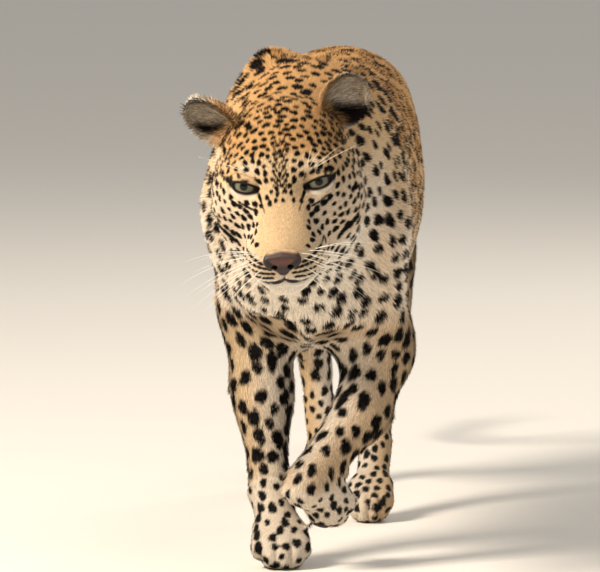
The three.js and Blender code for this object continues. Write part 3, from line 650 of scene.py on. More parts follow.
class Markings:
    """Spots and rosettes: middles scattered over the skin, each with its own size, shape and lie."""

    def __init__(self, skin):
        rng = np.random.default_rng(11)
        co, n = points_of(skin.mesh), normals_of(skin.mesh)
        order = rng.permutation(len(co))[:SPOT_TRIES]
        h = head_points(co)
        plain = self.plain_face(h) * (skin.owner == 0)
        kept = np.empty((MOST_SPOTS, 3))
        room = np.empty(MOST_SPOTS)
        chosen = []
        for i in order:
            if plain[i] > 0.5:
                continue
            gap = skin.spacing[i] * MM * SPOT_GAP
            k = len(chosen)
            if k and (((kept[:k] - co[i]) ** 2).sum(1) < ((room[:k] + gap) / 2) ** 2).any():
                continue
            kept[k], room[k] = co[i], gap
            chosen.append(i)
            if k == len(kept) - 1:
                break
        at = np.array(chosen)
        self.middle = co[at]
        lie = skin.lie[at]
        across = np.cross(n[at], lie)
        crown = ((skin.owner[at] == 0) & (h[at, 1] > 6) & (h[at, 2] > 20))[:, None]
        self.along, self.across = np.where(crown, across, lie), np.where(crown, lie, across)
        self.radius = skin.radius[at] * MM * rng.uniform(0.86, 1.28, len(at))
        self.open = (skin.open[at] > rng.uniform(0.15, 0.6, len(at))) * 1.0
        stretch = rng.uniform(1.08, 1.6, len(at))
        self.stretch = np.where((self.open > 0) | crown[:, 0], 1.0 + 0.3 * (stretch - 1), stretch)
        self.phase = rng.uniform(0, 2 * math.pi, (4, len(at)))
        self.breaks = rng.integers(3, 6, len(at))
        self.tree = KDTree(len(at))
        for i, p in enumerate(self.middle):
            self.tree.insert(p, i)
        self.tree.balance()
        self.tail_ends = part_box("tail_tip")
        self.streaks = self.face_streaks(skin)

    @staticmethod
    def plain_face(h):
        """Where the face has no spots of its own: bridge, pads, chin and the rims of the eyes."""
        x, y, z = np.abs(h[:, 0]), h[:, 1], h[:, 2]
        bridge = (x < 29) & (y < -10) & (z < -9 - 0.3 * x)
        pads = (x < 52) & (y < -44) & (z < -50)
        chin = (x < 30) & (y < -30) & (z < -84)
        eyes = (np.hypot((x - 40) / 24, (z + 1) / 13) < 1) & (y < 20)
        return (bridge | pads | chin | eyes) * 1.0

    @staticmethod
    def face_streaks(skin):
        """Lines and blotches on the face: points on the skin and half widths at both ends, in mm."""
        plans = []
        for s in (-1, 1):
            plans.append(([(27, -3), (23, -11), (19.5, -20)], 2.5, 0.9, s))
            plans.append(([(28, 4), (28, 14), (31, 32)], 1.6, 2.6, s))
            plans.append(([(57, 4), (64, 8), (70, 11)], 1.9, 1.2, s))
            plans.append(([(33, -20), (42, -18), (50, -14)], 1.5, 1.9, s))
            plans.append(([(62, -67), (69, -63), (78, -58)], 5.0, 6.8, s))
            rows = (
                ((44, -56), (26, -61)), ((45, -64), (17, -66.5)),
                ((42, -72), (14, -73)), ((34, -80), (16, -79)))
            for outer, inner in rows:
                for k in range(6):
                    t = k / 5
                    x, z = (outer[i] * (1 - t) + inner[i] * t for i in (0, 1))
                    plans.append(([(x, z), (x - 2.8, z - 0.5)], 2.4, 2.1, s))
            for z in range(0, 46, 7):
                plans.append(([(2.6, z), (5.0, z + 3.4), (7.6, z + 7.4)], 1.9, 1.6, s))
        for z in range(6, 52, 9):
            plans.append(([(0, z), (0.6, z + 4.4)], 1.7, 1.3, 1))
        plans.append(([(0, -66), (0, -75), (0, -84)], 1.3, 1.6, 1))
        lines = []
        for points, first, last, s in plans:
            found = [on_face(skin.before_eyes, s * x, z) for x, z in points]
            lines.append(([p for p in found if p is not None], first, last))
        half = len(skin.mouth) // 2
        lines.append((skin.mouth[half:], 2.6, 1.6))
        lines.append((skin.mouth[half::-1], 2.6, 1.6))
        return [line for line in lines if len(line[0]) > 1]

    def colour_at(self, points, tone):
        """Linear colour of the coat at points of the skin."""
        c = colours()
        back, side, under, spot, inside = (
            np.array(v) for v in (c.back, c.side, c.under, c.spot, c.rosette))
        base = mixed(mixed(under, side, smooth(0, 0.62, tone)), back, smooth(0.55, 1.0, tone))
        found = [self.tree.find_n(p, 4) for p in points]
        index = np.array([[f[1] for f in row] for row in found])
        dark = np.zeros(len(points))
        warm = np.zeros(len(points))
        for k in range(index.shape[1]):
            i = index[:, k]
            d = points - self.middle[i]
            x = (d * self.along[i]).sum(1) / self.stretch[i]
            y = (d * self.across[i]).sum(1)
            r = np.hypot(x, y)
            turn = np.arctan2(y, x)
            p = self.phase[:, i]
            rough = 0.6 + 0.4 * self.open[i]
            edge = self.radius[i] * (
                1 + rough * (0.17 * np.sin(2 * turn + p[0]) + 0.13 * np.sin(3 * turn + p[1])
                             + 0.08 * np.sin(5 * turn + p[2])))
            solid = smooth(SOFT_EDGE, -SOFT_EDGE, r - edge)
            rim = edge * 1.12
            band = edge * (0.1 + 0.3 * smooth(-0.75, 0.5, np.cos(self.breaks[i] * turn + p[3])))
            ring = smooth(SOFT_EDGE, -SOFT_EDGE, np.abs(r - rim) - band)
            opened = self.open[i]
            dark = np.maximum(dark, solid * (1 - opened) + ring * opened)
            warm = np.maximum(warm, smooth(rim + 2 * MM, rim - 2 * MM, r) * opened)
        h = head_points(points)
        close = h[:, 1] < 60
        for line, first, last in self.streaks:
            ends = [np.linalg.norm(points[close] - np.array(p), axis=1) for p in (line[0], line[-1])]
            width = first + (last - first) * ends[0] / (ends[0] + ends[1] + 1e-9)
            far = distance_to_line(points[close], line) / MM
            dark[close] = np.maximum(dark[close], smooth(width + 0.7, width - 0.7, far))
        low, high = self.tail_ends
        rings = np.sin((points[:, 1] - high.y) * 2 * math.pi / TAIL_RING + 1.4) * 0.5 + 0.5
        tail = smooth(low.y + 10 * MM, low.y + 60 * MM, points[:, 1])
        dark = np.maximum(dark * (1 - tail), tail * smooth(0.42, 0.56, rings))
        dark = np.maximum(dark, smooth(high.y - 34 * MM, high.y - 22 * MM, points[:, 1]))
        rgb = mixed(base, inside, 0.75 * warm)
        return mixed(rgb, spot, dark)


# Coat

class Ground:
    """Faces of a mesh on which tufts root, with values of its points that the roots take."""

    def __init__(self, mesh, values):
        mesh.calc_loop_triangles()
        count = len(mesh.loop_triangles)
        verts = np.empty(count * 3, np.int32)
        loops = np.empty(count * 3, np.int32)
        mesh.loop_triangles.foreach_get("vertices", verts)
        mesh.loop_triangles.foreach_get("loops", loops)
        self.verts, loops = verts.reshape(-1, 3), loops.reshape(-1, 3)
        uv = np.empty(len(mesh.loops) * 2, np.float32)
        mesh.uv_layers["OFBake"].uv.foreach_get("vector", uv)
        self.uv = uv.reshape(-1, 2)[loops]
        self.points, self.normals = points_of(mesh), normals_of(mesh)
        a, b, c = (self.points[self.verts[:, k]] for k in range(3))
        self.area = np.linalg.norm(np.cross(b - a, c - a), axis=1) / 2
        self.values = values

    def roots(self, count, weight, seed):
        """Draws roots evenly over the faces by area times weight, and their values."""
        rng = np.random.default_rng(seed)
        share = self.area * weight[self.verts].mean(1)
        total = np.cumsum(share)
        at = (np.arange(count) + rng.random(count)) / count * total[-1]
        face = np.minimum(np.searchsorted(total, at), len(total) - 1)
        u, v = rng.random(count), rng.random(count)
        over = u + v > 1
        u[over], v[over] = 1 - u[over], 1 - v[over]
        share = np.stack([1 - u - v, u, v], axis=1)[:, :, None]

        def take(values):
            values = values.reshape(len(values), -1)
            return (values[self.verts[face]] * share).sum(1)

        out = {name: take(v) for name, v in self.values.items()}
        out["at"] = take(self.points)
        out["normal"] = unit(take(self.normals))
        out["uv"] = (self.uv[face] * share).sum(1)
        return out


def tuft_shape(bent):
    """A closed tuft of three sides along +z, from a cone; a bent one has a joint half way."""
    bm = bmesh.new()
    bmesh.ops.create_cone(bm, cap_ends=True, segments=3, radius1=0.5, radius2=0, depth=1)
    bmesh.ops.remove_doubles(bm, verts=bm.verts, dist=1e-4)
    bmesh.ops.translate(bm, verts=bm.verts, vec=(0, 0, 0.5))
    if bent:
        cut = bm.verts[:] + bm.edges[:] + bm.faces[:]
        bmesh.ops.bisect_plane(bm, geom=cut, plane_co=(0, 0, 0.5), plane_no=(0, 0, 1))
    bmesh.ops.triangulate(bm, faces=bm.faces)
    bm.verts.ensure_lookup_table()
    co = np.array([v.co for v in bm.verts])
    if bent:
        half = np.abs(co[:, 2] - 0.5) < 0.01
        co[half, :2] *= 1.5
    faces = np.array([[v.index for v in f.verts] for f in bm.faces])
    bm.free()
    return co, faces


def tufts_mesh(name, roots, length, width, lift, colour_at, bent=False, seed=0, softness=0.7, vary=0.13):
    """Tufts as one mesh: thin, lying along the coat, with the coat's colour at root and tip, and painted
    shade towards the root.

    Softness turns their normals towards the skin's, and vary is how far they differ in brightness.
    """
    rng = np.random.default_rng(seed)
    shape, faces = tuft_shape(bent)
    count = len(length)
    n = roots["normal"]
    lie = roots["lie"] + 0.16 * rng.normal(size=(count, 3))
    lie = unit(lie - n * (lie * n).sum(1, keepdims=True))
    lift = lift * rng.uniform(0.7, 1.35, count)
    axis = lie * np.cos(lift)[:, None] + n * np.sin(lift)[:, None]
    side = unit(np.cross(axis, n))
    third = np.cross(axis, side)
    t = shape[:, 2]
    w = width[:, None]
    drop = (t ** 2) * 0.22 if bent else t * 0
    co = (roots["at"] - n * 0.8 * MM)[:, None, :]
    co = co + axis[:, None, :] * (length[:, None] * t[None])[:, :, None]
    co = co - n[:, None, :] * (length[:, None] * drop[None])[:, :, None]
    co = co + side[:, None, :] * (w * shape[None, :, 0])[:, :, None]
    co = co + third[:, None, :] * (0.55 * w * shape[None, :, 1])[:, :, None]
    own = side[:, None, :] * shape[None, :, 0, None] + third[:, None, :] * shape[None, :, 1, None]
    normal = unit(n[:, None, :] * softness + own * (1 - softness) * 1.6 + axis[:, None, :] * 0.05)
    value = rng.uniform(1 - vary, 1 + vary, (count, 1, 1))
    # Painted shade and light: a tuft is 0.66 times its colour at the root, deep in the coat, rising to
    # 1.06 times at its lit tip
    shade = (0.66 + 0.4 * t)[None, :, None]
    root_rgb = colour_at(roots["at"] + axis * (0.3 * length)[:, None])
    tip_rgb = colour_at(roots["at"] + axis * (0.7 * length)[:, None])
    rgb = root_rgb[:, None, :] * (1 - t)[None, :, None] + tip_rgb[:, None, :] * t[None, :, None]
    tint = np.clip(rgb * shade * value, 0, 1)
    patch = 0.003 * shape[:, :2]
    k = len(shape)
    mesh = bpy.data.meshes.new(name)
    mesh.vertices.add(count * k)
    mesh.vertices.foreach_set("co", co.astype(np.float32).ravel())
    corner = (faces[None] + (np.arange(count) * k)[:, None, None]).astype(np.int32).ravel()
    mesh.loops.add(len(corner))
    mesh.loops.foreach_set("vertex_index", corner)
    mesh.polygons.add(len(corner) // 3)
    mesh.polygons.foreach_set("loop_start", np.arange(0, len(corner), 3, dtype=np.int32))
    uv = (roots["uv"][:, None, :] + patch[None]).reshape(-1, 2)
    mesh.uv_layers.new(name="OFBake").uv.foreach_set("vector", uv[corner].astype(np.float32).ravel())
    mesh.update(calc_edges=True)
    mesh.validate()
    paint(mesh, tint.reshape(-1, 3))
    mesh.shade_smooth()
    mesh.normals_split_custom_set_from_vertices(normal.reshape(-1, 3).astype(np.float32))
    return mesh


def coat_names(skin):
    """For each point of the skin, the coat piece that covers it."""
    h = head_points(points_of(skin.mesh))
    table = {
        "neck": "coat_neck", "chest": "coat_chest", "belly": "coat_flank", "hips": "coat_rump",
        "thigh": "coat_rump", "foreleg": "coat_forelegs", "forepaw": "coat_forelegs",
        "shank": "coat_hindlegs", "hindpaw": "coat_hindlegs", "tail": "coat_tail", "head": "coat_crown",
    }
    names = np.array([table[n.split("_")[0]] for n in FLESH])[skin.owner]
    names[(names == "coat_crown") & (h[:, 1] < 12)] = "coat_face"
    return names


def bare_places(skin):
    """0 where no tuft roots: behind the eyes, along the mouth and under the nose leather."""
    co = points_of(skin.mesh)
    grow = np.ones(len(co))
    for side in ("right", "left"):
        centre, out, across, up = eye_axes(side)
        d = co - np.array(centre)
        inside = np.hypot(d @ np.array(across) / (22.5 * MM), d @ np.array(up) / (14.5 * MM))
        grow[(inside < 1) & (d @ np.array(out) > 0)] = 0
    h = head_points(co)
    grow[distance_to_line(co, skin.mouth) < 1.5 * MM] = 0
    grow[(h[:, 1] < -80) & (from_middle(h, -62, 17, 12.5) < 1)] = 0
    return grow


# Materials

def add_node(tree, kind, links=(), **settings):
    """Adds a node, sets it up by name, and links inputs given as (socket, source output)."""
    node = tree.nodes.new(kind)
    for name, value in settings.items():
        if hasattr(node, name):
            setattr(node, name, value)
        else:
            node.inputs[name.replace("_", " ")].default_value = value
    for socket, source in links:
        tree.links.new(source, node.inputs[socket])
    return node


def material(name, **shader):
    """An empty material with its shader; settings are the shader's own sockets."""
    m = bpy.data.materials.new(name)
    m.use_nodes = True
    m.node_tree.nodes.clear()
    bsdf = add_node(m.node_tree, "ShaderNodeBsdfPrincipled")
    for socket, value in shader.items():
        bsdf.inputs[socket.replace("_", " ")].default_value = value
    add_node(m.node_tree, "ShaderNodeOutputMaterial", [("Surface", bsdf.outputs[0])])
    return m, m.node_tree, bsdf


def mottled(tree, cell, detail, rough, low, high):
    """The stored colours, markings and painted shade, darker and lighter in soft patches: cell is their
    size in metres.
    """
    mark = add_node(tree, "ShaderNodeAttribute", attribute_name="markings_and_shade")
    place = add_node(tree, "ShaderNodeTexCoord")
    cloud = add_node(tree, "ShaderNodeTexNoise", [("Vector", place.outputs["Object"])],
                     Scale=1 / cell, Detail=detail, Roughness=rough)
    spread = add_node(tree, "ShaderNodeMapRange", [("Value", cloud.outputs["Fac"])],
                      From_Min=0.3, From_Max=0.7, To_Min=low, To_Max=high)
    shade = add_node(tree, "ShaderNodeVectorMath", [(0, mark.outputs["Color"]), (1, spread.outputs[0])],
                     operation="MULTIPLY")
    return shade.outputs[0]


def fur_material():
    """Short guard hair, thin and dry, so the coat is dull with hardly any gloss.

    A single hair is too fine to show. Its change of colour is drawn in patches of 3.2 mm.
    """
    m, tree, bsdf = material("short_fur", Roughness=0.8, Specular_IOR_Level=0.05)
    tree.links.new(mottled(tree, 3.2 * MM, 2.0, 0.6, 0.82, 1.12), bsdf.inputs["Base Color"])
    return m


def skin_material():
    """Hide under the fur: the coat's colours, darker as painted shade, and dull, with a nap 2.2 mm wide
    as its bump.
    """
    m, tree, bsdf = material("hide", Roughness=0.85, Specular_IOR_Level=0.2)
    mark = add_node(tree, "ShaderNodeAttribute", attribute_name="markings_and_shade")
    place = add_node(tree, "ShaderNodeTexCoord")
    nap = add_node(tree, "ShaderNodeTexNoise", [("Vector", place.outputs["Object"])],
                   Scale=1 / (2.2 * MM), Detail=2.0)
    rise = add_node(tree, "ShaderNodeBump", [("Height", nap.outputs["Fac"])],
                    Strength=0.5, Distance=0.6 * MM)
    tree.links.new(mark.outputs["Color"], bsdf.inputs["Base Color"])
    tree.links.new(rise.outputs[0], bsdf.inputs["Normal"])
    return m


def leather_material(name, grain, rough):
    """Moist bare skin, half glossy, with a pebbled grain: grain is the size of a cell in metres."""
    m, tree, bsdf = material(name, Roughness=rough, Specular_IOR_Level=0.45)
    place = add_node(tree, "ShaderNodeTexCoord")
    cells = add_node(tree, "ShaderNodeTexVoronoi", [("Vector", place.outputs["Object"])],
                     Scale=1 / grain, feature="F1")
    rise = add_node(tree, "ShaderNodeBump", [("Height", cells.outputs["Distance"])],
                    Strength=0.45, Distance=0.35 * MM)
    tree.links.new(mottled(tree, 9 * MM, 3.0, 0.5, 0.7, 1.2), bsdf.inputs["Base Color"])
    tree.links.new(rise.outputs[0], bsdf.inputs["Normal"])
    return m


def eye_material():
    """A wet eyeball under its clear film: black pupil, streaked iris with a dark rim, dark white.

    The stops of the ramp are angles from the middle of the pupil, as a share of a quarter turn.
    """
    m, tree, bsdf = material("wet_eye", Roughness=0.08, Coat_Weight=0.45, Coat_Roughness=0.02,
                             Coat_IOR=1.28, Specular_IOR_Level=0.15)
    turn = add_node(tree, "ShaderNodeAttribute", attribute_name="polar")
    place = add_node(tree, "ShaderNodeTexCoord")
    streak = add_node(tree, "ShaderNodeTexNoise", [("Vector", place.outputs["Object"])],
                      Scale=1 / (1.1 * MM), Detail=3.0)
    wobble = add_node(tree, "ShaderNodeMath", [(0, streak.outputs["Fac"])],
                      operation="MULTIPLY_ADD")
    wobble.inputs[1].default_value = 0.035
    tree.links.new(turn.outputs["Fac"], wobble.inputs[2])
    ramp = add_node(tree, "ShaderNodeValToRGB", [("Fac", wobble.outputs[0])])
    c = colours()
    iris = tuple(c.iris)
    stops = [
        (0.0, (0.001, 0.001, 0.001)),
        (0.17, (0.001, 0.001, 0.001)),
        (0.195, tuple(v * 0.4 for v in iris)),
        (0.24, tuple(v * 0.9 for v in iris)),
        (0.40, iris),
        (0.455, tuple(v * 0.5 for v in iris)),
        (0.485, tuple(c.bare)),
        (1.0, tuple(v * 1.6 for v in c.bare)),
    ]
    ramp.color_ramp.elements.remove(ramp.color_ramp.elements[1])
    ramp.color_ramp.elements[0].position = 0.0
    ramp.color_ramp.elements[0].color = (*stops[0][1], 1)
    for angle, rgb in stops[1:]:
        ramp.color_ramp.elements.new(angle).color = (*rgb, 1)
    tree.links.new(ramp.outputs["Color"], bsdf.inputs["Base Color"])
    return m


def whisker_material():
    """Keratin of a whisker: smooth and a little glossy, with faint bands about 17 mm long."""
    m, tree, bsdf = material("whisker", Roughness=0.35, Specular_IOR_Level=0.5)
    place = add_node(tree, "ShaderNodeTexCoord")
    cloud = add_node(tree, "ShaderNodeTexNoise", [("Vector", place.outputs["Object"])], Scale=60.0)
    mix = add_node(tree, "ShaderNodeMix", [("Factor", cloud.outputs["Fac"])], data_type="RGBA")
    mix.inputs["A"].default_value = (*[v * 0.8 for v in colours().whisker], 1)
    mix.inputs["B"].default_value = (*colours().whisker, 1)
    tree.links.new(mix.outputs["Result"], bsdf.inputs["Base Color"])
    return m


def floor_material():
    """Matt painted studio floor."""
    return material("studio_floor", Roughness=0.9, Specular_IOR_Level=0.1,
                    Base_Color=(*colours().floor, 1))[0]


MATERIALS = {}


def finish_of(name):
    """The material of that name, made the first time it is asked for."""
    if name not in MATERIALS:
        MATERIALS[name] = {
            "fur": fur_material,
            "hide": skin_material,
            "nose": lambda: leather_material("nose_leather", 1.3 * MM, 0.45),
            "bare": lambda: leather_material("bare_skin", 0.9 * MM, 0.42),
            "eye": eye_material,
            "whisker": whisker_material,
            "floor": floor_material,
        }[name]()
    return MATERIALS[name]


SKIN = Skin()


# Pieces

class LEOPARD_OT_skin(bpy.types.Operator):
    """One skin over the whole body, inside the flesh by the depth of the coat"""

    bl_idname = "leopard.skin"
    bl_label = "Skin"

    def execute(self, context):
        mesh = SKIN.build()
        mesh.name = "skin"
        skin = shown("skin", mesh, "coat", *FLESH, materials=[finish_of("hide")])
        unwrapped(skin)
        SKIN.mesh = skin.data
        return {"FINISHED"}


class LEOPARD_OT_coat(bpy.types.Operator):
    """Tufts of short fur over the whole skin, with its markings"""

    bl_idname = "leopard.coat"
    bl_label = "Coat"

    def execute(self, context):
        s = sizes()
        ground = Ground(SKIN.mesh, {
            "lie": SKIN.lie, "hair": SKIN.hair, "depth": SKIN.depth, "tone": SKIN.tone})
        names = coat_names(SKIN)
        grow = bare_places(SKIN)
        fine = 1 + 1.6 * smooth(60, -20, head_points(ground.points)[:, 1])
        total = s.tufts
        for seed, (name, share) in enumerate(COATS.items()):
            weight = (names == name) * grow * fine
            roots = ground.roots(int(total * share), weight, 20 + seed)
            rng = np.random.default_rng(60 + seed)
            hair = roots["hair"][:, 0] * MM * s.hair
            length = hair * rng.uniform(0.75, 1.2, len(hair))
            width = s.tuft_width * np.clip(hair / (15 * MM), 0.4, 1.05)
            width = width * rng.uniform(0.8, 1.25, len(hair))
            lift = np.arctan2(roots["depth"][:, 0] * MM * 1.05, hair)
            tone = roots["tone"][:, 0]
            mesh = tufts_mesh(name, roots, length, width, lift,
                              lambda p: SKIN.seeds.colour_at(p, tone), seed=90 + seed)
            shown(name, mesh, "coat", materials=[finish_of("fur")])
        return {"FINISHED"}


class LEOPARD_OT_eyes(bpy.types.Operator):
    """Two wet eyeballs that look at the camera from under their lids"""

    bl_idname = "leopard.eyes"
    bl_label = "Eyes"

    def execute(self, context):
        for side in ("right", "left"):
            node = f"eye_{side}"
            low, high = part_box(node)
            radius = (high - low).z / 2
            centre, out = eye_axes(side)[:2]
            gaze = (out + Vector((0, -1, 0)) * 0.5).normalized()
            bm = bmesh.new()
            bmesh.ops.create_uvsphere(bm, u_segments=48, v_segments=40, radius=radius)
            polar = [math.acos(max(-1, min(1, v.co.z / radius))) / (math.pi / 2) for v in bm.verts]
            for v in bm.verts:
                cornea = max(0.0, 1 - math.hypot(v.co.x, v.co.y) / (0.62 * radius))
                if v.co.z > 0:
                    v.co.z += 0.045 * radius * cornea
            turn = gaze.to_track_quat("Z", "Y").to_matrix().to_4x4()
            bmesh.ops.transform(bm, matrix=Matrix.Translation(centre) @ turn, verts=bm.verts)
            mesh = mesh_of(bm, node)
            mesh.attributes.new("polar", "FLOAT", "POINT").data.foreach_set("value", polar)
            shown(f"eyeball_{side}", mesh, "eye", node, materials=[finish_of("eye")])
        return {"FINISHED"}


class LEOPARD_OT_lids(bpy.types.Operator):
    """Upper and lower lids with their dark bare edges"""

    bl_idname = "leopard.lids"
    bl_label = "Eyelids"

    def execute(self, context):
        edge = sizes().lid_edge
        low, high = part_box("eye_left")
        ball = (high - low).z / 2
        steps = 56
        # Each ring's width against the opening, and its height over the eyeball or else on the skin
        rings = ((0.95, 0.2 * MM), (1.0, edge * 0.7), (1.07, edge), (1.17, edge * 0.9),
                 (1.34, None), (1.55, None), (1.85, None))
        for side in ("right", "left"):
            centre, out, across, up = eye_axes(side)
            bm = bmesh.new()
            loop = bmesh.ops.create_circle(bm, segments=steps, radius=1)["verts"]
            edges = bm.edges[:]
            for number, (wide, rise) in enumerate(rings):
                if number:
                    for i, v in enumerate(loop):
                        v.index = i
                    made = bmesh.ops.extrude_edge_only(bm, edges=edges)["geom"]
                    edges = [g for g in made if isinstance(g, bmesh.types.BMEdge)]
                    fresh = {tuple(v.co): v for v in made if isinstance(v, bmesh.types.BMVert)}
                    loop = [fresh[tuple(v.co)] for v in loop]
                    edges = [e for e in edges if e.verts[0] in loop and e.verts[1] in loop]
                for i, v in enumerate(loop):
                    v.co = self.place(i / steps, wide, rise, ball, centre, out, across, up)
            bmesh.ops.recalc_face_normals(bm, faces=bm.faces)
            if sum(f.normal.dot(out) * f.calc_area() for f in bm.faces) < 0:
                bmesh.ops.reverse_faces(bm, faces=bm.faces)
            mesh = mesh_of(bm, f"eyelids_{side}")
            co = points_of(mesh)
            d = co - np.array(centre)
            a, b = d @ np.array(across), d @ np.array(up)
            tall = np.where(b > 0, EYE_ABOVE, EYE_BELOW) * MM
            inside = np.hypot(a / (EYE_WIDE * MM), b / tall)
            tone = SKIN.tone[[SKIN.tree.find(p)[1] for p in co]]
            tone = np.where(b < 0, 0.5 * tone, tone)
            fade = smooth(1.24, 1.46, inside - 0.16 * (b < 0))
            # Dark bare edge, fading to the coat's colours at 0.7 as painted shade under the lids' fur
            paint(mesh, mixed(np.array(colours().bare), SKIN.seeds.colour_at(co, tone) * 0.7, fade))
            lids = shown(f"eyelids_{side}", mesh, "coat", materials=[finish_of("hide")])
            unwrapped(lids)
            radial = unit(a[:, None] * np.array(across) + b[:, None] * np.array(up))
            hair = (1.6 + 2.6 * smooth(1.2, 1.9, inside)) * MM
            ground = Ground(lids.data, {"lie": radial, "tone": tone, "hair": hair})
            roots = ground.roots(3000, fade, 300)
            hair = roots["hair"][:, 0]
            own_tone = roots["tone"][:, 0]
            fur = tufts_mesh(f"coat_eyelids_{side}", roots, hair, hair * 0.28, 0.3,
                             lambda p: SKIN.seeds.colour_at(p, own_tone), seed=310)
            shown(f"coat_eyelids_{side}", fur, "coat", materials=[finish_of("fur")])
            shell = lids.modifiers.new("shell", "SOLIDIFY")
            shell.thickness = LID_SHELL * MM
            shell.offset = -1
        return {"FINISHED"}

    @staticmethod
    def place(part, wide, rise, ball, centre, out, across, up):
        """A point of a ring round the almond opening, on the eyeball or out on the skin."""
        turn = 2 * math.pi * part
        x = EYE_WIDE * MM * wide * math.cos(turn)
        rise_by = math.sin(turn)
        tall = EYE_ABOVE if rise_by > 0 else EYE_BELOW
        # The corners of the opening are sharp, and the rings further out are round
        point = 1.0 + 0.6 * max(0.0, 1.6 - wide)
        y = tall * MM * wide ** 1.86 * math.copysign(abs(rise_by) ** point, rise_by) - 0.6 * MM
        flat = centre + across * x + up * y
        r2 = x * x + y * y
        if rise is not None:
            return flat + out * math.sqrt(max((ball + rise) ** 2 - r2, (0.3 * ball) ** 2))
        over = math.sqrt(max((ball + 1.2 * MM) ** 2 - r2, (0.3 * ball) ** 2))
        hit = SKIN.before_eyes.ray_cast(flat + out * 0.06, -out)[0]
        skin = (hit - flat).dot(out) if hit is not None else over
        blend = min(max((wide - 1.17) / 0.45, 0), 1)
        sink = 1.0 * MM * min(max((wide - 1.5) / 0.3, 0), 1)
        return flat + out * (over * (1 - blend) + (skin - sink) * blend)


class LEOPARD_OT_nose(bpy.types.Operator):
    """Nose leather with its nostrils, smoothed from the solid one, and a near-black body inside as
    painted shade
    """

    bl_idname = "leopard.nose"
    bl_label = "Nose"

    def execute(self, context):
        bm = bmesh.new()
        closed_copy(bm, "nose", 0.5 * MM)
        mesh = regridded(bm, 0.7 * MM)
        set_points(mesh, relaxed(points_of(mesh), edges_of(mesh), 0.5, 10))
        c = colours()
        h = head_points(points_of(mesh))
        x, z = np.abs(h[:, 0]), h[:, 2] + 57
        sunk = MM * (4.2 * smooth(5, 11, z + 0.1 * x) + 3.2 * smooth(-7, -14, z))
        set_points(mesh, points_of(mesh) + sunk[:, None] * HEAD_BACK)
        bare = np.array(c.bare)
        # Darker towards the top, the sides and the bottom; near black over the nostrils as painted shade
        # in their holes; at the top edge the fur's colour at 0.62, like the skin's painted shade
        nostril = np.hypot((x - 12) / 8.5, (z + 4.5 - 0.7 * (x - 12)) / 3.6)
        rgb = np.array(c.nose)
        for over, share in (
                (bare * 2.4, smooth(0, 4, z) * 0.6), (bare * 1.6, smooth(11, 17, x) * 0.7),
                (bare, smooth(-1, -9, z) * 0.9), (bare * 0.3, smooth(1.15, 0.7, nostril)),
                (np.array(c.side) * 0.62, smooth(8.5, 12, z + 0.16 * x))):
            rgb = mixed(rgb, over, share)
        paint(mesh, rgb)
        shown("nose_leather", mesh, "nose_leather", "nose", materials=[finish_of("nose")])
        # Painted shade: a near-black body inside the nose, seen through the nostrils
        bm = bmesh.new()
        bmesh.ops.create_uvsphere(bm, u_segments=32, v_segments=16, radius=1)
        inside = HEAD @ Matrix.Translation((0, -92, -59)) @ Matrix.Diagonal((17, 6, 9, 1))
        bmesh.ops.transform(bm, matrix=inside, verts=bm.verts)
        bmesh.ops.recalc_face_normals(bm, faces=bm.faces)
        nostril_shade_mesh = mesh_of(bm, "painted_nostril_shade")
        paint(nostril_shade_mesh, np.array(c.bare) * 0.3)
        shown("painted_nostril_shade", nostril_shade_mesh, "nose_leather", materials=[finish_of("bare")])
        return {"FINISHED"}


def strand(bm, points, radii, sides):
    """Adds a closed tapered strand along points."""
    before = None
    for k, (p, r) in enumerate(zip(points, radii)):
        way = (points[min(k + 1, len(points) - 1)] - points[max(k - 1, 0)]).normalized()
        turn = way.to_track_quat("Z", "Y").to_matrix().to_4x4()
        m = Matrix.Translation(p) @ turn
        at_end = k in (0, len(points) - 1)
        ring = bmesh.ops.create_circle(bm, cap_ends=at_end, segments=sides, radius=r, matrix=m)
        edges = [e for v in ring["verts"] for e in v.link_edges]
        edges = list(dict.fromkeys(edges))
        if before:
            bmesh.ops.bridge_loops(bm, edges=before + edges)
        before = edges


class LEOPARD_OT_lips(bpy.types.Operator):
    """The dark line of the lips, and the groove below the nose"""

    bl_idname = "leopard.lips"
    bl_label = "Lips"

    def execute(self, context):
        surface = SKIN.surface()
        line = []
        for p in SKIN.mouth:
            hit = surface.find_nearest(p)
            line.append(hit[0] - hit[1] * 0.4 * MM)
        bm = bmesh.new()
        count = len(line)
        radii = [MM * (0.9 + 1.3 * math.sin(math.pi * i / (count - 1)) ** 0.5) for i in range(count)]
        strand(bm, line, radii, 8)
        groove = []
        for z in (-64, -70, -76, -83):
            start, end = HEAD @ Vector((0, -160, z)), HEAD @ Vector((0, 0, z))
            hit = surface.ray_cast(start, (end - start).normalized())[0]
            if hit is not None:
                groove.append(hit)
        strand(bm, groove, [1.2 * MM, 0.9 * MM, 0.9 * MM, 1.2 * MM][:len(groove)], 8)
        bmesh.ops.recalc_face_normals(bm, faces=bm.faces)
        mesh = mesh_of(bm, "lips")
        paint(mesh, np.array(colours().bare))
        shown("lips", mesh, "nose_leather", materials=[finish_of("bare")])
        return {"FINISHED"}


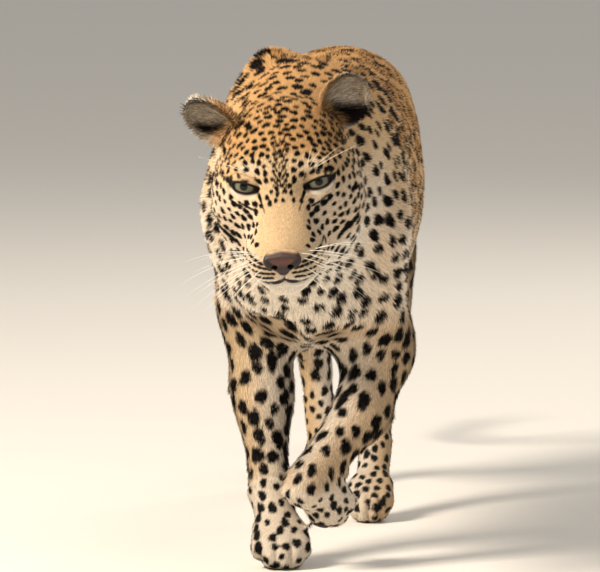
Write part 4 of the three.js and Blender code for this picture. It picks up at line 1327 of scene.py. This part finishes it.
class LEOPARD_OT_ears(bpy.types.Operator):
    """Ear cups with short dark hair behind, a pale rim and long pale hair inside"""

    bl_idname = "leopard.ears"
    bl_label = "Ears"

    def execute(self, context):
        for seed, side in enumerate(("right", "left")):
            node = f"ear_{side}"
            bm = bmesh.new()
            closed_copy(bm, node, 0.3 * MM)
            mesh = regridded(bm, 1.5 * MM)
            set_points(mesh, relaxed(points_of(mesh), edges_of(mesh), 0.5, 6))
            set_points(mesh, points_of(mesh) - normals_of(mesh) * 1.6 * MM)
            co, n = points_of(mesh), normals_of(mesh)
            values = self.measure(node, co, n)
            # Painted shade: the cup under its fur takes the hair's colours at 0.6
            paint(mesh, values["rgb"] * 0.6)
            ear = shown(f"ear_cup_{side}", mesh, "ear", node, materials=[finish_of("hide")])
            unwrapped(ear)
            ground = Ground(ear.data, values)
            roots = ground.roots(8000, np.ones(len(co)), 40 + seed)
            hair = roots["hair"][:, 0]
            width = 1.5 * MM * np.clip(hair / (12 * MM), 0.5, 1.0)
            lift = np.radians(12 + 20 * roots["inner"][:, 0])
            fur = tufts_mesh(f"coat_ear_{side}", roots, hair, width, lift, lambda p: roots["rgb"],
                             bent=True, seed=130 + seed, softness=0.5, vary=0.42)
            shown(f"coat_ear_{side}", fur, "ear", materials=[finish_of("fur")])
        return {"FINISHED"}

    @staticmethod
    def measure(node, co, n):
        """Colour, length and lie of the hair on an ear: from the base out to the rim."""
        c = colours()
        middle = np.array(middle_of(node))
        away = unit(middle - np.array(HEAD @ Vector((0, 70, 10))))
        reach = (co - middle) @ away
        reach = (reach - reach.min()) / (reach.max() - reach.min())
        spread = co - co.mean(0)
        _, _, axes = np.linalg.svd(spread[::7], full_matrices=False)
        facing = axes[2] if axes[2] @ np.array([0, -1, 0]) > 0 else -axes[2]
        inner = smooth(0.0, 0.5, n @ facing)
        flat = spread - (spread @ facing)[:, None] * facing
        rim = np.linalg.norm(flat, axis=1) / np.linalg.norm(flat, axis=1).max()
        inward = np.array([-np.sign(middle[0] + 0.013), 0, 0])
        medial = smooth(-0.1, 0.6, unit(flat) @ inward)
        edge = smooth(0.6, 0.85, rim)[:, None]
        lie = unit(away * 0.7 - inward * 0.5 * inner[:, None] * (1 - edge)
                   + unit(flat) * (0.3 + 0.9 * edge))
        pale, tan, gold, dark = (np.array(v) for v in (c.under, c.side, c.back, c.spot))
        streaks = np.random.default_rng(3).uniform(0, 1, len(co))
        grey = mixed(tan * 0.42, pale * 0.62, streaks)
        low = (middle[2] - co[:, 2]) / (0.5 * np.ptp(co[:, 2]))
        laid = node == "ear_right"
        # Painted shade: near black low in the cup, where the opening of the ear lies in shade
        hollow_shade = smooth(-0.05, 0.35, low) * (smooth(0.86, 0.66, rim) if laid else smooth(0.98, 0.8, rim))
        inside = mixed(grey, dark * 1.2, hollow_shade)
        inside = mixed(inside, gold * 0.9, medial * smooth(0.6, 0.8, rim) * 0.9)
        pale_spot = bump(reach, 0.62, 0.13) * bump(rim, 0.3, 0.35)
        behind = mixed(dark * 1.6, pale * 0.75, pale_spot)
        behind = mixed(gold * 0.9, behind, smooth(0.12, 0.35, reach))
        rgb = mixed(behind, inside, inner)
        fringe = smooth(0.8, 0.94, rim) * smooth(0.45, 0.75, reach) * smooth(-0.5, 0.1, n @ facing)
        rgb = mixed(rgb, pale * 0.85, fringe * 0.9)
        hair = (4.5 + 7 * laid * smooth(0.7, 0.9, rim) + 10 * inner * smooth(0.95, 0.6, rim)) * MM
        return {"rgb": rgb, "hair": hair, "lie": lie, "inner": inner}


class LEOPARD_OT_whiskers(bpy.types.Operator):
    """Whiskers of the upper lip and long hairs over each eye"""

    bl_idname = "leopard.whiskers"
    bl_label = "Whiskers"

    def execute(self, context):
        s = sizes()
        rng = np.random.default_rng(5)
        surface = SKIN.surface()
        bm = bmesh.new()
        for side in (-1, 1):
            for row, z in enumerate((-54, -60, -67, -74)):
                for k in range(4):
                    x = 21 + 6.5 * k
                    root = HEAD @ Vector((side * x, -101 + 1.25 * (x - 12), z - k))
                    at = surface.find_nearest(root)[0]
                    length = s.whisker * (0.5 + 0.16 * k) * rng.uniform(0.85, 1.05)
                    rise = 0.1 - 0.24 * row + rng.normal() * 0.08
                    way = Vector((side * (0.9 + 0.1 * k), -0.28 + 0.24 * k, rise))
                    self.whisker(bm, at, way, length, -0.22, s.whisker_root)
            for k in range(4):
                root = HEAD @ Vector((side * (30 + 4 * k), -12, 19 + (k % 2) * 2.4))
                at = surface.find_nearest(root)[0]
                length = s.whisker * (0.5 + 0.08 * k) * rng.uniform(0.85, 1.1)
                way = Vector((side * (0.25 + 0.2 * k), -0.45 + 0.1 * k, 0.9 - 0.12 * k))
                self.whisker(bm, at, way, length, -0.1, s.whisker_root * 0.8)
        bmesh.ops.recalc_face_normals(bm, faces=bm.faces)
        shown("whiskers", mesh_of(bm, "whiskers"), "coat", materials=[finish_of("whisker")])
        return {"FINISHED"}

    @staticmethod
    def whisker(bm, at, way, length, sag, radius):
        way = (HEAD_AXES @ way).normalized()
        points = []
        for i in range(8):
            t = i / 7
            points.append(at + way * (length * (t - 0.03)) + Vector((0, 0, sag * length * t * t)))
        strand(bm, points, [radius * (1 - 0.86 * i / 7) for i in range(8)], 4)


class LEOPARD_OT_pads(bpy.types.Operator):
    """Dark pads under the lifted forepaw"""

    bl_idname = "leopard.pads"
    bl_label = "Pads"

    def execute(self, context):
        low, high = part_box("forepaw_left")
        surface = SKIN.surface()
        bm = bmesh.new()
        # Place in the paw's box from above, as shares of its width and length, and radius in mm
        toes = ((0.30, 0.80, 7), (0.52, 0.93, 7), (0.74, 0.90, 7), (0.9, 0.76, 6.5))
        for x, y, r in (*toes, (0.5, 0.6, 12)):
            start = Vector((low.x + (high.x - low.x) * x, low.y + (high.y - low.y) * y, low.z - 0.05))
            hit = surface.ray_cast(start, Vector((0, 0, 1)))
            if hit[0] is None:
                continue
            turn = hit[1].to_track_quat("Z", "Y").to_matrix().to_4x4()
            made = bmesh.ops.create_uvsphere(bm, u_segments=20, v_segments=14, radius=1)["verts"]
            bmesh.ops.scale(bm, verts=made, vec=(r * MM, r * 0.86 * MM, 3 * MM))
            sunk = hit[0] - hit[1] * 0.6 * MM  # its middle lies a little below the skin
            bmesh.ops.transform(bm, verts=made, matrix=Matrix.Translation(sunk) @ turn)
        mesh = mesh_of(bm, "paw_pads")
        paint(mesh, np.array(colours().bare) * 1.6)
        shown("paw_pads", mesh, "nose_leather", materials=[finish_of("bare")])
        return {"FINISHED"}


class LEOPARD_OT_stage(bpy.types.Operator):
    """Pale studio floor, soft lights and the camera in front of the face"""

    bl_idname = "leopard.stage"
    bl_label = "Stage"

    ROOM = 60.0  # radius of the round floor in metres, far enough that the picture shows no edge
    FRAME_WIDTH = 0.714  # metres seen across the picture at the aim
    DISTANCE = 8.0  # metres from the camera to the aim
    AZIMUTH = 3.75  # degrees round to the animal's left from straight ahead
    ELEVATION = 5.0  # degrees above the level
    AIM = (-0.0133, -0.4725, 0.326)  # the middle of the picture, between chin and chest
    LIT = (0, -0.5, 0.35)  # what the lights face
    WORLD = "F1EEEA"
    WORLD_STRENGTH = 0.5
    # Name, place, width of the square in metres, watts and colour
    LIGHTS = (
        ("key", (-3.0, -3.0, 3.5), 1.5, 390, "FFF2E0"),
        ("fill", (3.4, -3.4, 1.8), 3.0, 22, "EEF3FF"),
        ("rim", (1.6, 3.2, 3.2), 2.0, 60, "FFF6EA"),
    )

    def execute(self, context):
        bm = bmesh.new()
        bmesh.ops.create_circle(bm, cap_ends=True, segments=96, radius=self.ROOM)
        if sum(f.normal.z for f in bm.faces) < 0:
            bmesh.ops.reverse_faces(bm, faces=bm.faces)
        floor = bpy.data.objects.new("studio_floor", mesh_of(bm, "studio_floor"))
        context.scene.collection.objects.link(floor)
        floor.data.materials.append(finish_of("floor"))
        world = bpy.data.worlds.new("studio")
        world.use_nodes = True
        background = world.node_tree.nodes["Background"].inputs
        background["Color"].default_value = (*linear(self.WORLD), 1)
        background["Strength"].default_value = self.WORLD_STRENGTH
        context.scene.world = world
        for settings in self.LIGHTS:
            self.light(*settings)
        camera = bpy.data.objects.new("camera", bpy.data.cameras.new("camera"))
        context.scene.collection.objects.link(camera)
        a, e = math.radians(self.AZIMUTH), math.radians(self.ELEVATION)
        away = Vector((math.sin(a) * math.cos(e), -math.cos(a) * math.cos(e), math.sin(e)))
        camera.location = Vector(self.AIM) + away * self.DISTANCE
        camera.rotation_euler = away.to_track_quat("Z", "Y").to_euler()
        camera.data.lens = camera.data.sensor_width * self.DISTANCE / self.FRAME_WIDTH
        camera.data.clip_end = 200
        context.scene.camera = camera
        context.scene.view_settings.view_transform = "Standard"
        return {"FINISHED"}

    @classmethod
    def light(cls, name, at, wide, watts, code):
        """A soft square light that faces the animal."""
        lamp = bpy.data.lights.new(name, "AREA")
        lamp.size = wide
        lamp.energy = watts
        lamp.color = linear(code)
        holder = bpy.data.objects.new(name, lamp)
        holder.location = at
        away = Vector(at) - Vector(cls.LIT)
        holder.rotation_euler = away.to_track_quat("Z", "Y").to_euler()
        bpy.context.scene.collection.objects.link(holder)


PIECES = (
    LEOPARD_OT_skin, LEOPARD_OT_coat, LEOPARD_OT_eyes, LEOPARD_OT_lids, LEOPARD_OT_nose,
    LEOPARD_OT_lips, LEOPARD_OT_ears, LEOPARD_OT_whiskers, LEOPARD_OT_pads, LEOPARD_OT_stage,
)


class LEOPARD_PT_pieces(bpy.types.Panel):
    """Lists the pieces of the leopard"""

    bl_label = "Leopard"
    bl_idname = "LEOPARD_PT_pieces"
    bl_space_type = "VIEW_3D"
    bl_region_type = "UI"
    bl_category = "Leopard"

    def draw(self, context):
        for group in (context.scene.leopard_sizes, context.scene.leopard_colours):
            for name in group.__annotations__:
                self.layout.prop(group, name)
        for piece in PIECES:
            self.layout.operator(piece.bl_idname)


CLASSES = (LeopardSizes, LeopardColours, *PIECES, LEOPARD_PT_pieces)


def register():
    for cls in CLASSES:
        bpy.utils.register_class(cls)
    bpy.types.Scene.leopard_sizes = PointerProperty(type=LeopardSizes)
    bpy.types.Scene.leopard_colours = PointerProperty(type=LeopardColours)


def unregister():
    del bpy.types.Scene.leopard_colours
    del bpy.types.Scene.leopard_sizes
    for cls in reversed(CLASSES):
        bpy.utils.unregister_class(cls)


def plain(box):
    """A box's two corners as lists of numbers."""
    return [[float(v) for v in corner] for corner in box]


def main():
    """Makes every piece and the stage in order."""
    register()
    for piece in PIECES:
        group, name = piece.bl_idname.split(".")
        getattr(getattr(bpy.ops, group), name)()


if __name__ == "__main__":
    main()
